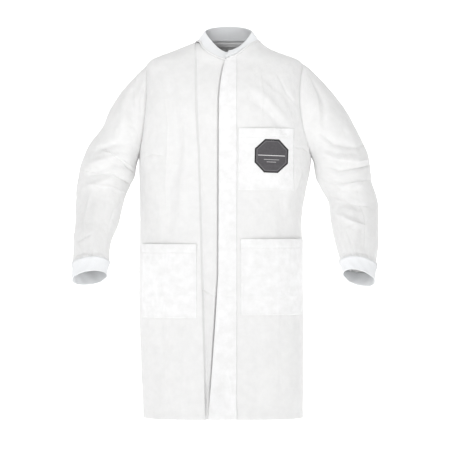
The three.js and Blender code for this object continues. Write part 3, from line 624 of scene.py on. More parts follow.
    def sleeve_point(self, arm, turn, station, lift=0.0, folds=True):
        """A point of the sleeve, raised along its normal by folds, crumple, cuff gathers and a lift."""
        hand = arm["hand"]
        at = lambda turned, moved: self.sleeve_surface(arm, turn + turned, np.maximum(0, station + moved))
        outwards = -hand * unit(np.cross(at(0.05, 0) - at(-0.05, 0), at(0, 0.1) - at(0, -0.1)))
        p = at(0, 0)
        height = np.zeros(np.shape(station))
        if folds:
            x, drop = p[..., 0], -p[..., 2]
            sine = np.sin(turn)
            front = fold_height(x, drop, LEFT_SLEEVE_FOLDS if hand > 0 else RIGHT_SLEEVE_FOLDS)
            behind = fold_height(hand * x, drop, ARM_BACK_FOLDS)
            height = ease(sine / 0.5) * front + ease(-sine / 0.5) * behind
            large, small = crumple(p, 0.06, 5 + hand, 5), crumple(p, 0.026, 12 + hand, 3)
            height += self.b.crumple * (4.0 * large + 1.8 * small)
            gathers = np.cos(13 * turn + 2.0 * np.sin(3 * turn)) * 0.6 + np.cos(23 * turn + 1.0) * 0.4
            height += 0.0024 * gathers * np.exp(-(CUFF - station) / 0.28) * (station <= CUFF + 0.001)
            height *= ease(station / 0.35)
            drawn = (1 - np.clip(station / DRAW_IN, 0, 1)) ** 2
            height += SEAM_DIP * (1 - np.exp(-((station / 0.06) ** 2))) * drawn
            height -= 0.0035 * ease((station - CUFF + 0.2) / 0.2)
        return p + outwards * (height + lift)[..., None]


# ---- Meshes --------------------------------------------------------------------------------------------


def new_object(name, vertices, faces, material, uvs=None):
    """A mesh object of quads at the origin; uvs has one pair for each face corner."""
    mesh = bpy.data.meshes.new(name)
    mesh.vertices.add(len(vertices))
    mesh.vertices.foreach_set("co", np.asarray(vertices, np.float32).ravel())
    mesh.loops.add(faces.size)
    mesh.loops.foreach_set("vertex_index", faces.astype(np.int32).ravel())
    mesh.polygons.add(len(faces))
    mesh.polygons.foreach_set("loop_start", np.arange(0, faces.size, faces.shape[1], dtype=np.int32))
    mesh.polygons.foreach_set("use_smooth", np.ones(len(faces), bool))
    if uvs is not None:
        layer = mesh.uv_layers.new(name="cloth")
        layer.data.foreach_set("uv", np.asarray(uvs, np.float32).ravel())
    mesh.update(calc_edges=True)
    mesh.materials.append(material)
    made = bpy.data.objects.new(name, mesh)
    bpy.context.scene.collection.objects.link(made)
    return made


def lengths_along(points):
    """Length from a line's first point to each of its points."""
    return np.concatenate(([0], np.cumsum(np.linalg.norm(np.diff(points, axis=0), axis=1))))


def grid_corners(rows, cols, flip=False):
    """Row and column of the four corners of every quad of a grid with so many spans."""
    i, j = np.arange(rows)[:, None], np.arange(cols)[None, :]
    corners = [(i, j), (i + 1, j), (i + 1, j + 1), (i, j + 1)]
    return corners[::-1] if flip else corners


def sheet_object(name, points, material, thickness, ring=False, flip=False):
    """A sheet over a grid of points (rows, columns, 3), its UV in metres along its middle row and column.

    Faces run row by row; a ring joins its last column to its first. Solidify gives the cloth thickness."""
    rows, cols = points.shape[:2]
    spans = cols if ring else cols - 1
    corners = grid_corners(rows - 1, spans, flip)
    index = [np.broadcast_to(r * cols + c % cols, (rows - 1, spans)) for r, c in corners]
    faces = np.stack(index, axis=-1).reshape(-1, 4)
    closed = np.concatenate((points, points[:, :1]), axis=1) if ring else points
    across = lengths_along(closed[rows // 2])
    down = lengths_along(closed[:, closed.shape[1] // 2])
    pairs = [np.stack(np.broadcast_arrays(across[c], -down[r]), axis=-1) for r, c in corners]
    uvs = np.stack(pairs, axis=2).reshape(-1, 2)
    made = new_object(name, points.reshape(-1, 3), faces, material, uvs)
    wall = made.modifiers.new("cloth_thickness", "SOLIDIFY")
    wall.thickness = thickness
    wall.offset = -1.0
    wall.use_rim = True
    return made


def stitches(name, lines, material):
    """Rows of short sewn stitches. Each line is (points, normals); a stitch is a bar with pinched ends.

    Stitches sit at even steps of the line's length, and each is two rings of four points round its middle and
    one point at each end."""
    trim = bpy.context.scene.coat_trim
    vertices, faces = [], []
    count = 0
    for points, normals in lines:
        lengths = lengths_along(points)
        number = max(1, int(lengths[-1] / (1.35 * trim.stitch)))
        middles = (np.arange(number) + 0.5) * lengths[-1] / number
        at = lambda values, where: np.stack([np.interp(where, lengths, part) for part in values.T], axis=-1)
        centre = at(points, middles)
        along = unit(at(points, middles + 0.0008) - at(points, middles - 0.0008))
        normal = unit(at(normals, middles))
        side = np.cross(along, normal)
        half, r = trim.stitch / 2, trim.thread / 2
        rings = []
        for place, size in ((-1.0, 0.25), (-0.6, 1.0), (0.6, 1.0), (1.0, 0.25)):
            for turn in range(4):
                a = math.pi / 4 + turn * math.pi / 2
                offset = side * (math.cos(a) * r * size) + normal * (math.sin(a) * r * size * 0.7)
                rings.append(centre + along * (half * place) + offset)
        block = np.stack(rings, axis=1)
        quads = [
            (k * 4 + n, k * 4 + (n + 1) % 4, (k + 1) * 4 + (n + 1) % 4, (k + 1) * 4 + n)
            for k in range(3)
            for n in range(4)
        ]
        quads += [(3, 2, 1, 0), (12, 13, 14, 15)]
        base = count + np.arange(number)[:, None, None] * 16
        faces.append((base + np.array(quads)[None]).reshape(-1, 4))
        vertices.append(block.reshape(-1, 3))
        count += number * 16
    return new_object(name, np.concatenate(vertices), np.concatenate(faces), material)


def coat_line(shape, angles, drops):
    """Points and normals of a sewn line on the coat."""
    return shape.skin(angles, drops, STITCH_LIFT), shape.outward(angles, drops)


# ---- Materials -----------------------------------------------------------------------------------------


class Nodes:
    """Adds nodes to a tree, one call for each, and links their inputs."""

    def __init__(self, tree):
        self.tree = tree

    def add(self, kind, settings=None, **inputs):
        """A node of a kind, with settings on it, and inputs that are values or other nodes' outputs."""
        node = self.tree.nodes.new(kind)
        for key, value in (settings or {}).items():
            setattr(node, key, value)
        for key, value in inputs.items():
            numbered = key[0] == "i" and key[1:].isdigit()
            self.feed(node.inputs[int(key[1:]) if numbered else key.replace("_", " ")], value)
        return node

    def feed(self, socket, value):
        """Links another node's output to an input, or sets the input's value."""
        if isinstance(value, bpy.types.NodeSocket):
            self.tree.links.new(value, socket)
        else:
            socket.default_value = value

    def math(self, operation, a, b=0.0):
        """One Math node's output."""
        return self.add("ShaderNodeMath", {"operation": operation}, i0=a, i1=b).outputs[0]

    def mix(self, share, a, b):
        """Colour between a and b."""
        node = self.add("ShaderNodeMix", {"data_type": "RGBA"})
        for index, value in ((0, share), (6, a), (7, b)):
            self.feed(node.inputs[index], value)
        return node.outputs[2]

    def object_place(self):
        """The piece's own coordinates."""
        return self.add("ShaderNodeTexCoord").outputs["Object"]

    def between(self, value, low, high):
        """A mask from 0 to 1 spread between two values."""
        return self.add("ShaderNodeMapRange", i0=value, i3=low, i4=high).outputs[0]

    def finish(self, shader, tint, rough, bump, **values):
        """Feeds a shader its colour, its roughness (mask, low, high), its bump (strength, distance, height) and
        any plain values."""
        strength, distance, height = bump
        self.feed(shader.inputs["Base Color"], tint)
        self.feed(shader.inputs["Roughness"], self.between(*rough))
        lump = self.add("ShaderNodeBump", Strength=strength, Distance=distance, Height=height)
        self.feed(shader.inputs["Normal"], lump.outputs[0])
        for key, value in values.items():
            shader.inputs[key.replace("_", " ")].default_value = value


def shader_group(name, inputs, outputs):
    """An empty shader node group with float inputs (name, default) and outputs, and its end sockets."""
    group = bpy.data.node_groups.new(name, "ShaderNodeTree")
    group.interface.new_socket("Vector", in_out="INPUT", socket_type="NodeSocketVector")
    for label, default in inputs:
        socket = group.interface.new_socket(label, in_out="INPUT", socket_type="NodeSocketFloat")
        socket.default_value = default
    for label in outputs:
        group.interface.new_socket(label, in_out="OUTPUT", socket_type="NodeSocketFloat")
    return group, group.nodes.new("NodeGroupInput"), group.nodes.new("NodeGroupOutput")


def point_bond_group():
    """Bonded spots of nonwoven cloth: the product of two sine waves, with random fibres over them."""
    group, start, end = shader_group("point_bonds", [("Pitch", 0.0017), ("Fibre", 0.5)], ["Height", "Fibres"])
    n = Nodes(group)
    split = n.add("ShaderNodeSeparateXYZ", i0=start.outputs["Vector"]).outputs
    rate = n.math("DIVIDE", 6.2832, start.outputs["Pitch"])
    plus = n.math("MULTIPLY", n.math("ADD", split[0], split[1]), rate)
    minus = n.math("MULTIPLY", n.math("SUBTRACT", split[0], split[1]), rate)
    spots = n.math("MULTIPLY", n.math("SINE", plus), n.math("SINE", minus))
    dents = n.math("POWER", n.math("MAXIMUM", spots, 0.0), 2.0)
    stretched = n.add("ShaderNodeMapping", i0=start.outputs["Vector"], Scale=(900.0, 260.0, 600.0)).outputs[0]
    fibres = n.add("ShaderNodeTexNoise", i0=stretched, Scale=1.0, Detail=5.0, Roughness=0.65, Distortion=1.4)
    height = n.math("SUBTRACT", n.math("MULTIPLY", fibres.outputs[0], start.outputs["Fibre"]), dents)
    group.links.new(height, end.inputs["Height"])
    group.links.new(fibres.outputs[0], end.inputs["Fibres"])
    return group


def cloud_group():
    """Soft uneven patches and faint handling marks: two sizes of noise, each stretched to fill 0 to 1."""
    group, start, end = shader_group("uneven_tone", [("Size", 0.03)], ["Clouds", "Marks"])
    n = Nodes(group)
    rate = n.math("DIVIDE", 1.0, start.outputs["Size"])
    slow = n.math("MULTIPLY", rate, 0.17)
    clouds = n.add("ShaderNodeTexNoise", i0=start.outputs["Vector"], Scale=rate, Detail=3.0, Roughness=0.55)
    marks = n.add("ShaderNodeTexNoise", i0=start.outputs["Vector"], Scale=slow, Detail=4.0)
    for source, label in ((clouds, "Clouds"), (marks, "Marks")):
        spread = n.add("ShaderNodeMapRange", i0=source.outputs[0], i1=0.32, i2=0.68)
        group.links.new(spread.outputs[0], end.inputs[label])
    return group


def knit_group():
    """Loops of rib knit: a wave across each rib and one down each loop, and a mask of the grooves between ribs
    for painted shade.
    """
    group, start, end = shader_group("knit_loops", [("Rib", 0.0027), ("Loop", 0.0013)], ["Height", "Groove shade"])
    n = Nodes(group)
    split = n.add("ShaderNodeSeparateXYZ", i0=start.outputs["Vector"]).outputs
    across = n.math("MULTIPLY", split[0], n.math("DIVIDE", 6.2832, start.outputs["Rib"]))
    rib = n.math("MULTIPLY_ADD", n.math("COSINE", across), 0.5)
    n.tree.nodes[-1].inputs[2].default_value = 0.5
    lean = n.math("MULTIPLY", n.math("ABSOLUTE", n.math("SINE", n.math("MULTIPLY", across, 0.5))), 1.6)
    down = n.math("ADD", n.math("MULTIPLY", split[1], n.math("DIVIDE", 6.2832, start.outputs["Loop"])), lean)
    loops = n.math("MULTIPLY", n.math("SINE", down), 0.25)
    group.links.new(n.math("ADD", rib, loops), end.inputs["Height"])
    # Groove output: 1 less the rib wave, a mask for painted shade in the grooves between ribs.
    group.links.new(n.math("SUBTRACT", 1.0, rib), end.inputs["Groove shade"])
    return group


def start_material(name):
    """A new material with a Principled BSDF and an output: its node adder and the shader."""
    material = bpy.data.materials.new(name)
    material.use_nodes = True
    material.node_tree.nodes.clear()
    n = Nodes(material.node_tree)
    shader = n.add("ShaderNodeBsdfPrincipled")
    n.add("ShaderNodeOutputMaterial", Surface=shader.outputs[0])
    return n, shader


def place_group(n, group, vector, **values):
    """A group node on a vector, with its own values."""
    node = n.add("ShaderNodeGroup", {"node_tree": group})
    n.tree.links.new(vector, node.inputs["Vector"])
    for key, value in values.items():
        node.inputs[key].default_value = value
    return node.outputs


def make_materials():
    """Every finish of the coat."""
    c = bpy.context.scene.coat_colours
    bonds, clouds, loops = point_bond_group(), cloud_group(), knit_group()

    def cloth(name, low, high):
        """Nonwoven cloth: fibre clouds between two whites, bonded spots as bump, and a soft sheen."""
        n, shader = start_material(name)
        flat = n.add("ShaderNodeUVMap", {"uv_map": "cloth"}).outputs[0]
        detail = place_group(n, bonds, flat, Pitch=0.0019, Fibre=0.9)
        tone = place_group(n, clouds, n.object_place(), Size=0.022)
        fine = n.math("MULTIPLY", detail["Fibres"], 0.35)
        tint = n.mix(n.math("ADD", n.math("MULTIPLY", tone["Clouds"], 0.65), fine), low, high)
        looks = {"Sheen_Weight": 0.25, "Sheen_Roughness": 0.5, "Specular_IOR_Level": 0.3}
        n.finish(shader, tint, (tone["Marks"], 0.78, 0.92), (0.35, 0.0003, detail["Height"]), **looks)

    cloth("nonwoven_cloth", tuple(c.cloth), tuple(c.cloth_thick))
    doubled = tuple(v * 1.03 for v in tuple(c.cloth)[:3]) + (c.cloth[3],)
    cloth("nonwoven_double", doubled, (0.9, 0.9, 0.905, 1))

    n, shader = start_material("rib_knit")
    flat = n.add("ShaderNodeUVMap", {"uv_map": "cloth"}).outputs[0]
    knit = place_group(n, loops, flat, Rib=0.0027, Loop=0.0012)
    tone = place_group(n, clouds, n.object_place(), Size=0.012)
    # Painted shade: the knit darkens towards the groove colour in the grooves between ribs, mixed with random
    # tone.
    groove_shade = n.math("MULTIPLY", n.math("ADD", knit["Groove shade"], n.math("MULTIPLY", tone["Clouds"], 0.4)), 0.6)
    ribs = n.mix(groove_shade, tuple(c.knit), tuple(c.knit_groove_shade))
    looks = {"Sheen_Weight": 0.35, "Specular_IOR_Level": 0.2}
    n.finish(shader, ribs, (tone["Marks"], 0.86, 0.98), (0.5, 0.0004, knit["Height"]), **looks)

    n, shader = start_material("moulded_snap")
    place = n.object_place()
    tone = place_group(n, clouds, place, Size=0.004)
    tint = n.mix(tone["Clouds"], tuple(c.plastic), (0.88, 0.88, 0.865, 1))
    grain = n.add("ShaderNodeTexNoise", i0=place, Scale=2500.0, Detail=2.0)
    n.finish(shader, tint, (tone["Marks"], 0.3, 0.45), (0.15, 0.0001, grain.outputs[0]))

    n, shader = start_material("sewing_thread")
    place = n.object_place()
    tone = place_group(n, clouds, place, Size=0.002)
    tint = n.mix(tone["Clouds"], tuple(c.thread), (0.86, 0.86, 0.87, 1))
    bands = {"wave_type": "BANDS", "bands_direction": "DIAGONAL"}
    twist = n.add("ShaderNodeTexWave", bands, i0=place, Scale=700.0)
    n.finish(shader, tint, (tone["Marks"], 0.55, 0.75), (0.4, 0.0001, twist.outputs[1]), Sheen_Weight=0.3)

    patch_material(c, bonds, clouds)


def patch_material(c, bonds, clouds):
    """Printed patch: a charcoal ground, a dark border, and a plain pale bar with two short rules under it.

    The print is boxes and a border in the patch's own UV, whose middle is 0 and whose sides are at plus and
    minus 1."""
    n, shader = start_material("printed_patch")
    flat = n.add("ShaderNodeUVMap", {"uv_map": "print"}).outputs[0]
    u, v = n.add("ShaderNodeSeparateXYZ", i0=flat).outputs[:2]

    def box(left, right, low, high):
        """1 inside a rectangle, 0 outside it."""
        wide = n.math("MULTIPLY", n.math("GREATER_THAN", u, left), n.math("LESS_THAN", u, right))
        tall = n.math("MULTIPLY", n.math("GREATER_THAN", v, low), n.math("LESS_THAN", v, high))
        return n.math("MULTIPLY", wide, tall)

    au, av = n.math("ABSOLUTE", u), n.math("ABSOLUTE", v)
    corner = n.math("MULTIPLY", n.math("ADD", au, av), 0.7071)
    rim = n.math("MAXIMUM", n.math("MAXIMUM", au, av), corner)
    border = n.math("GREATER_THAN", rim, 0.93)
    line = n.math("MULTIPLY", n.math("GREATER_THAN", rim, 0.855), n.math("LESS_THAN", rim, 0.875))
    bar = box(-0.80, 0.80, 0.01, 0.045)
    rules = n.math("MAXIMUM", box(-0.45, 0.45, -0.235, -0.205), box(-0.28, 0.28, -0.375, -0.345))
    pale = n.math("MAXIMUM", bar, n.math("MULTIPLY", rules, 0.55))
    pale = n.math("MAXIMUM", pale, n.math("MULTIPLY", line, 0.16))
    place = n.object_place()
    tone = place_group(n, clouds, place, Size=0.006)
    detail = place_group(n, bonds, place, Pitch=0.0016, Fibre=1.0)
    lighter = tuple(min(1.0, x * 1.35) for x in tuple(c.patch)[:3]) + (1.0,)
    ground = n.mix(n.math("MULTIPLY", tone["Clouds"], detail["Fibres"]), tuple(c.patch), lighter)
    edged = n.mix(border, ground, tuple(c.patch_edge))
    printed = n.mix(pale, edged, tuple(c.print_pale))
    looks = {"Specular_IOR_Level": 0.35}
    n.finish(shader, printed, (tone["Marks"], 0.5, 0.68), (0.3, 0.0002, detail["Height"]), **looks)


def finish_of(name):
    """A finished material; all of them are made on first use."""
    if name not in bpy.data.materials:
        make_materials()
    return bpy.data.materials[name]


# ---- Body cloth ----------------------------------------------------------------------------------------


def panel_points(shape, from_at, to_at, columns, rows):
    """Grid of a body panel between two edges given as angles at a drop, with a hem folded up inside.

    The hem's rows turn under the lower edge on a half circle and run up again."""
    u = np.linspace(0, 1, columns)[None, :]
    angle_on = lambda drop: from_at(drop) + u * (to_at(drop) - from_at(drop))
    drop = shape.settled_drop(rows[:, None], angle_on)
    body = shape.skin(angle_on(drop), drop)
    low = np.full((1, columns), shape.b.coat_length)
    last = from_at(low) + u * (to_at(low) - from_at(low))
    turn = np.linspace(0.35, math.pi, 5)[:, None]
    depth = HEM_ROLL * (1 - np.cos(turn))[..., None]
    bend = shape.skin(last, low) - shape.outward(last, low) * depth
    bend[..., 2] -= HEM_ROLL * np.sin(turn)
    climb = np.linspace(0.2, 1, 4)[:, None] * shape.t.coat_hem
    inside = shape.skin(last + 0 * climb, shape.b.coat_length - climb, -2 * HEM_ROLL)
    return np.concatenate((body, bend, inside))


class COAT_OT_back_panel(bpy.types.Operator):
    """Back of the coat, from side seam to side seam"""

    bl_idname = "coat.back_panel"
    bl_label = "Back panel"

    def execute(self, context):
        shape = CoatShape()
        left_side = lambda drop: math.pi - shape.reach(drop, shape.s.back_bite)
        right_side = lambda drop: math.pi + shape.reach(drop, shape.s.back_bite)
        points = panel_points(shape, left_side, right_side, 128, shape.rows(20, 80, 190))
        piece = sheet_object("back_cloth", points, finish_of("nonwoven_cloth"), shape.b.cloth)
        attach(piece, "coat_body")
        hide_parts("back_panel")
        return {"FINISHED"}


class COAT_OT_front_panels(bpy.types.Operator):
    """Left and right fronts, from the side seams to the placket seam and to the right front's fold"""

    bl_idname = "coat.front_panels"
    bl_label = "Front panels"

    def execute(self, context):
        shape = CoatShape()
        rows = shape.rows(22, 90, 220)
        left_side = lambda drop: shape.reach(drop, shape.s.left_bite)
        right_side = lambda drop: -shape.reach(drop, shape.s.right_bite)
        seam_at = lambda drop: shape.angle_at(shape.f.placket_seam - 0.005, drop)
        fold_at = lambda drop: shape.angle_at(shape.right_edge(drop), drop)
        left = panel_points(shape, seam_at, left_side, 110, rows)
        right = panel_points(shape, right_side, fold_at, 90, rows)

        # The right front's fold: a half circle turned under, then a flat margin inside.
        radius, count = 0.0012, len(rows)
        edge_drop = shape.settled_drop(rows, fold_at)
        edge_normal = shape.outward(fold_at(edge_drop), edge_drop)
        edge = right[:count, -1]
        side = unit(edge - right[:count, -3])
        roll = np.linspace(0.3, math.pi, 5)
        folded = [edge + side * radius * math.sin(a) - edge_normal * radius * (1 - math.cos(a)) for a in roll]
        folded += [folded[-1] - side * 0.004, folded[-1] - side * 0.012]
        margin = np.stack(folded, axis=1)
        tail = np.repeat(right[count:, -1:], len(folded), axis=1) + (margin[-1:] - edge[-1])
        right = np.concatenate((right, np.concatenate((margin, tail))), axis=1)

        for name, points, node, flat, area in (
            ("left_front_cloth", left, "left_front_panel", (0.34, 1.08), 0.32),
            ("right_front_cloth", right, "right_front_panel", (0.27, 1.08), 0.24),
        ):
            piece = sheet_object(name, points, finish_of("nonwoven_cloth"), shape.b.cloth)
            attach(piece, "coat_body")
            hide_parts(node)
        return {"FINISHED"}


def strip_rows(shape, end, count):
    """Rows from the neckline to a drop at the front."""
    return np.linspace(shape.top_row, end, count)


def strip_points(shape, start, stop, shares, shifts, row, depth_at):
    """Grid of a front strip between two lines given as places across the coat at a drop.

    Each column lies at its share of the way from start to stop, moved across by its shift;
    depth_at(across, drop) is how far it lies below the surface."""
    across_at = lambda drop: start(drop) + shares * (stop(drop) - start(drop)) + shifts
    drop = shape.settled_drop(row[:, None], lambda drop: shape.angle_at(across_at(drop), drop))
    across = across_at(drop)
    angle = shape.angle_at(across, drop)
    return shape.surface(angle, drop) - shape.outward(angle, drop) * depth_at(across, drop)[..., None]


class COAT_OT_front_strips(bpy.types.Operator):
    """Placket, concealed fly, snap strip and underlap, each one piece"""

    bl_idname = "coat.front_strips"
    bl_label = "Front strips"

    def execute(self, context):
        shape = CoatShape()
        f, b = shape.f, shape.b
        double, single = finish_of("nonwoven_double"), finish_of("nonwoven_cloth")

        def hold(piece, side, nodes, flat, rests, area=None):
            """Bakes a strip's place into its mesh and hides the frame parts it replaces."""
            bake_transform(piece)
            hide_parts(*nodes)
            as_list(rests)

        rows = strip_rows(shape, b.coat_length, 340)

        under_columns = 5
        roll = np.linspace(math.pi, 0.4, 6)
        rolled_columns = under_columns + len(roll)
        fold_radius = 0.0009
        over = np.linspace(0, 1, 26) ** 1.15
        shares = np.concatenate((np.zeros(rolled_columns), over))
        margin = np.linspace(0.009, 0.001, under_columns)
        shifts = fold_radius + np.concatenate((margin, -fold_radius * np.sin(roll), -fold_radius * over))
        seam_line = lambda drop: f.placket_seam + 0 * drop

        def placket_depth(across, drop):
            """Turned edge below, then a crowned face, flat at the sewn line and flaring at the hem."""
            edge = shape.left_edge(drop)
            folded = fold_radius * np.concatenate((np.full(under_columns, 2.0), 1 - np.cos(roll)))
            turned = np.concatenate((folded, np.zeros(len(over))))[None, :]
            away = np.maximum(across - edge, 0)
            share = np.clip(away / (f.placket_seam - edge), 0, 1)
            crown = 0.0016 * np.sin(math.pi * share**0.6) + 0.0005 * np.exp(-away / 0.006)
            snap = 0.0006 * np.exp(-(((away - 0.008) / 0.006) ** 2))
            near = ((drop - FIRST_SNAP + SNAP_PITCH / 2) % SNAP_PITCH) - SNAP_PITCH / 2
            snap = snap * np.exp(-((near / 0.006) ** 2)) * (drop < SNAPS_END)
            p = shape.surface(shape.angle_at(across, drop), drop)
            wrinkle = 0.0009 * (0.35 + crumple(p * np.array((1.6, 1, 0.7)), 0.04, 21, 4))
            flaring = (drop - FLARE_START) / FLARE_RUN
            flare = 0.013 * ease(flaring) ** 1.5 * ease((f.placket_seam - across) / 0.07)
            end_dimple = 0.0010 * np.exp(-(((drop - f.fly_length - 0.01) / 0.004) ** 2)) * share
            wrinkle = wrinkle * ease((f.placket_seam - across) / 0.012)
            sewn = 0.0007 * ease(away / 0.01)
            line_at = -0.004 + 0.027 * np.clip(flaring, 0, 1)
            crease = 0.0022 * np.exp(-np.abs(across - line_at) / 0.004)
            wrinkle = wrinkle + crease * ease((drop - FLARE_START + 0.01) / 0.06)
            return turned - crown - snap - wrinkle - flare + end_dimple - sewn

        points = strip_points(shape, shape.left_edge, seam_line, shares, shifts, rows, placket_depth)
        piece = sheet_object("placket_cloth", points, double, b.cloth)
        nodes = ["left_placket_upper", "left_placket_lower"]
        hold(piece, "left_front_edge", nodes, (0.085, 1.0), ["left_front_cloth"], 0.065)

        fly_depth = lambda across, drop: f.fly_depth + 0 * across
        fly_end = lambda drop: f.placket_seam - 0.008 + 0 * drop
        fly_rows = strip_rows(shape, f.fly_length, 200)
        columns = np.linspace(0, 1, 16)
        points = strip_points(shape, shape.left_edge, fly_end, columns, 0.0025, fly_rows, fly_depth)
        piece = sheet_object("fly_cloth", points, single, b.cloth)
        hold(piece, "left_front_edge", ["left_fly_upper", "left_fly_lower"], (0.05, 0.66), ["placket_cloth"])

        def lap_depth(below):
            """Starts under the right front's fold, sags beside it, rises to the placket's free edge and lies
            flat under the snaps, a depth below the snap strip; near the neck it stays close up."""

            def at(across, drop):
                fold, free = shape.right_edge(drop), shape.left_edge(drop)
                away = across - fold
                share = np.clip(away / (free - fold), 0, 1)
                p = shape.surface(shape.angle_at(across, drop), drop)
                lumps = 0.0014 * crumple(p * np.array((1.5, 1, 0.6)), 0.05, 31, 4) * ease(away / 0.02)
                lumps = lumps * ease((free - 0.004 - across) / 0.02)
                sag = 0.0065 * ease((away - 0.0005) / 0.007) * (1 - ease((share - 0.12) / 0.8))
                under = ease((across - free + 0.006) / 0.008)
                full = ease((drop - shape.neckline(shape.angle_at(across, drop))) / 0.03)
                shallow = 0.0034 - 0.0018 * ease(away / 0.02) * (1 - full)
                open_part = shallow + sag * full
                closed_part = (f.strip_depth - open_part) * under * full
                return open_part + closed_part + below * (0.4 + 0.6 * under * full) - lumps

            return at

        def lap(row, below):
            """A strip from under the right front's fold to its own free edge."""
            fold_line = lambda drop: shape.right_edge(drop) - 0.010
            free_line = lambda drop: f.underlap_edge + 0 * drop
            columns = np.linspace(0, 1, 60)
            return strip_points(shape, fold_line, free_line, columns, 0.0, row, lap_depth(below))

        strip_end = 0.712
        points = lap(strip_rows(shape, strip_end, 210), 0.0)
        slant = np.linspace(1, 0, points.shape[1]) ** 3 * 0.034
        near_end = ease((np.linspace(0, strip_end, points.shape[0]) - (strip_end - 0.12)) / 0.12)
        points[..., 2] += near_end[:, None] * slant[None, :]
        piece = sheet_object("snap_strip_cloth", points, single, b.cloth)
        nodes = ["right_snap_strip_upper", "right_snap_strip_lower"]
        hold(piece, "right_front_edge", nodes, (0.09, 0.67), ["right_front_cloth"])
        piece = sheet_object("underlap_cloth", lap(rows, f.underlap_depth - f.strip_depth), single, b.cloth)
        nodes = ["right_underlap_upper", "right_underlap_lower"]
        hold(piece, "right_front_edge", nodes, (0.09, 1.0), ["right_front_cloth"], 0.08)
        return {"FINISHED"}


class COAT_OT_snaps(bpy.types.Operator):
    """Moulded snap halves, which keep their frame shapes"""

    bl_idname = "coat.snaps"
    bl_label = "Snaps"

    def execute(self, context):
        plastic = finish_of("moulded_snap")
        for name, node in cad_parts.items():
            if name.startswith("snap_"):
                node.data.materials.clear()
                node.data.materials.append(plastic)
        return {"FINISHED"}


# ---- Collar and neck -----------------------------------------------------------------------------------


class COAT_OT_collar(bpy.types.Operator):
    """Folded rib-knit stand collar, its seam and the tape inside the neck"""

    bl_idname = "coat.collar"
    bl_label = "Collar"

    def execute(self, context):
        shape = CoatShape()
        b, t, f = shape.b, shape.t, shape.f
        right_end = float(shape.angle_at(f.underlap_edge + 0.014, b.front_neck_drop))
        left_end = float(shape.angle_at(f.edge_top, b.front_neck_drop)) - FULL_TURN
        angle = np.linspace(right_end, left_end, 1100)[None, :]

        def band(height, lift):
            """A line along the band at a share of its height, raised by a lift: the band goes up from the
            neckline and leans in, and its left end passes over its right end."""
            lap = lambda away: t.collar_lap * ease(np.clip(1 - away / 0.9, 0, None))
            front = np.maximum(0, np.cos(angle))
            behind = np.maximum(0, -np.cos(angle))
            rise = t.rise_side + (t.rise_throat - t.rise_side) * front**2
            rise += (t.rise_back - t.rise_side) * behind
            depth = np.where(front > 0, t.rim_front_depth, t.rim_back_depth)
            across = float(shape.sway(b.side_neck_drop)) + t.rim_half_width * np.sin(angle)
            foot = shape.surface(angle, shape.neckline(angle))
            slope = np.stack((across, -depth * np.cos(angle), rise), axis=-1) - foot
            out = np.stack((np.sin(angle), -np.cos(angle), 0 * angle), axis=-1)
            normal = out * slope[..., 2:]
            normal[..., 2:] -= np.sum(slope * out, axis=-1, keepdims=True)
            layer = lift + lap(angle - left_end) - lap(right_end - angle)
            return (foot + slope * (0.012 + height) + unit(normal) * layer[..., None])[0]

        rib = np.cos(FULL_TURN * lengths_along(band(0.5, 0 * angle)) / t.rib_pitch)[None, :]
        half = t.band_thickness / 2
        rows = [(h, half, 1.0) for h in np.linspace(-0.02, 0.95, 12)]
        top = np.linspace(0.3, math.pi - 0.3, 6)
        rows += [(0.955 + 0.045 * math.sin(a), half * math.cos(a), math.cos(a)) for a in top]
        rows += [(h, -half, -1.0) for h in np.linspace(0.95, 0.02, 10)]
        grid = []
        for height, offset, face in rows:
            soft = 0.0005 * np.sin(angle * 3 + 1) * np.sin(math.pi * np.clip(height, 0, 1))
            seam = -0.0007 * math.exp(-((max(height, 0) / 0.10) ** 2))
            grid.append(band(height, offset + seam + t.rib_height * rib * face + soft))
        piece = sheet_object("collar_knit", np.stack(grid), finish_of("rib_knit"), KNIT_WALL, flip=True)
        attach(piece, "coat_body")
        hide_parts("collar_band")

        # The seam at the collar's foot: an oval tube along the neckline, gathered a little.
        left_foot = float(shape.angle_at(f.edge_top + 0.002, 0.06))
        right_foot = float(shape.angle_at(-0.004, 0.06)) - FULL_TURN
        along_neck = np.linspace(left_foot, right_foot, 420)
        drops = shape.neckline(along_neck) + 0.001
        centre = shape.skin(along_neck, drops, 0.0004)
        normal = shape.outward(along_neck, drops)
        down = np.cross(normal, unit(np.gradient(centre, axis=0)))
        section = np.linspace(0, FULL_TURN, 11)[:-1, None]
        pad = 1 + 0.12 * np.sin(along_neck * 90)[:, None, None]
        tube = centre[:, None] + normal[:, None] * 0.0019 * np.cos(section) * pad
        tube += down[:, None] * 0.0026 * np.sin(section)
        piece = sheet_object("collar_seam", tube, finish_of("nonwoven_cloth"), 0.0003, ring=True, flip=True)
        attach(piece, "coat_body")

        back = np.linspace(-math.pi / 2 - 0.9, -1.5 * math.pi + 0.9, 150)[None, :]
        width = np.linspace(0, t.tape_width, 6)[:, None]
        tape = shape.skin(back, shape.neckline(back) + 0.0015 + width, -0.0022)
        piece = sheet_object("neck_tape", tape, finish_of("nonwoven_double"), b.cloth, flip=True)
        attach(piece, "coat_body")
        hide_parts("neck_seam_tape")
        return {"FINISHED"}


# ---- Pockets and patch ---------------------------------------------------------------------------------


# Left, right, top and bottom of each pocket, and how far its mouth bulges.
POCKETS = {
    "chest_pocket": (0.024, 0.178, 0.247, 0.418, 0.003),
    "left_hip_pocket": (0.030, 0.207, 0.552, 0.762, 0.0045),
    "right_hip_pocket": (-0.243, -0.090, 0.566, 0.770, 0.0045),
}


def pocket_lift(bulge, u, v):
    """Height of a pocket over the coat: sewn flat down its sides and bottom, standing off at its mouth."""
    u, v = np.clip(u, 0, 1), np.clip(v, 0, 1)
    return 0.0007 + bulge * np.sin(math.pi * u) ** 0.7 * (1 - v**3) + 0.0006 * (1 - v)


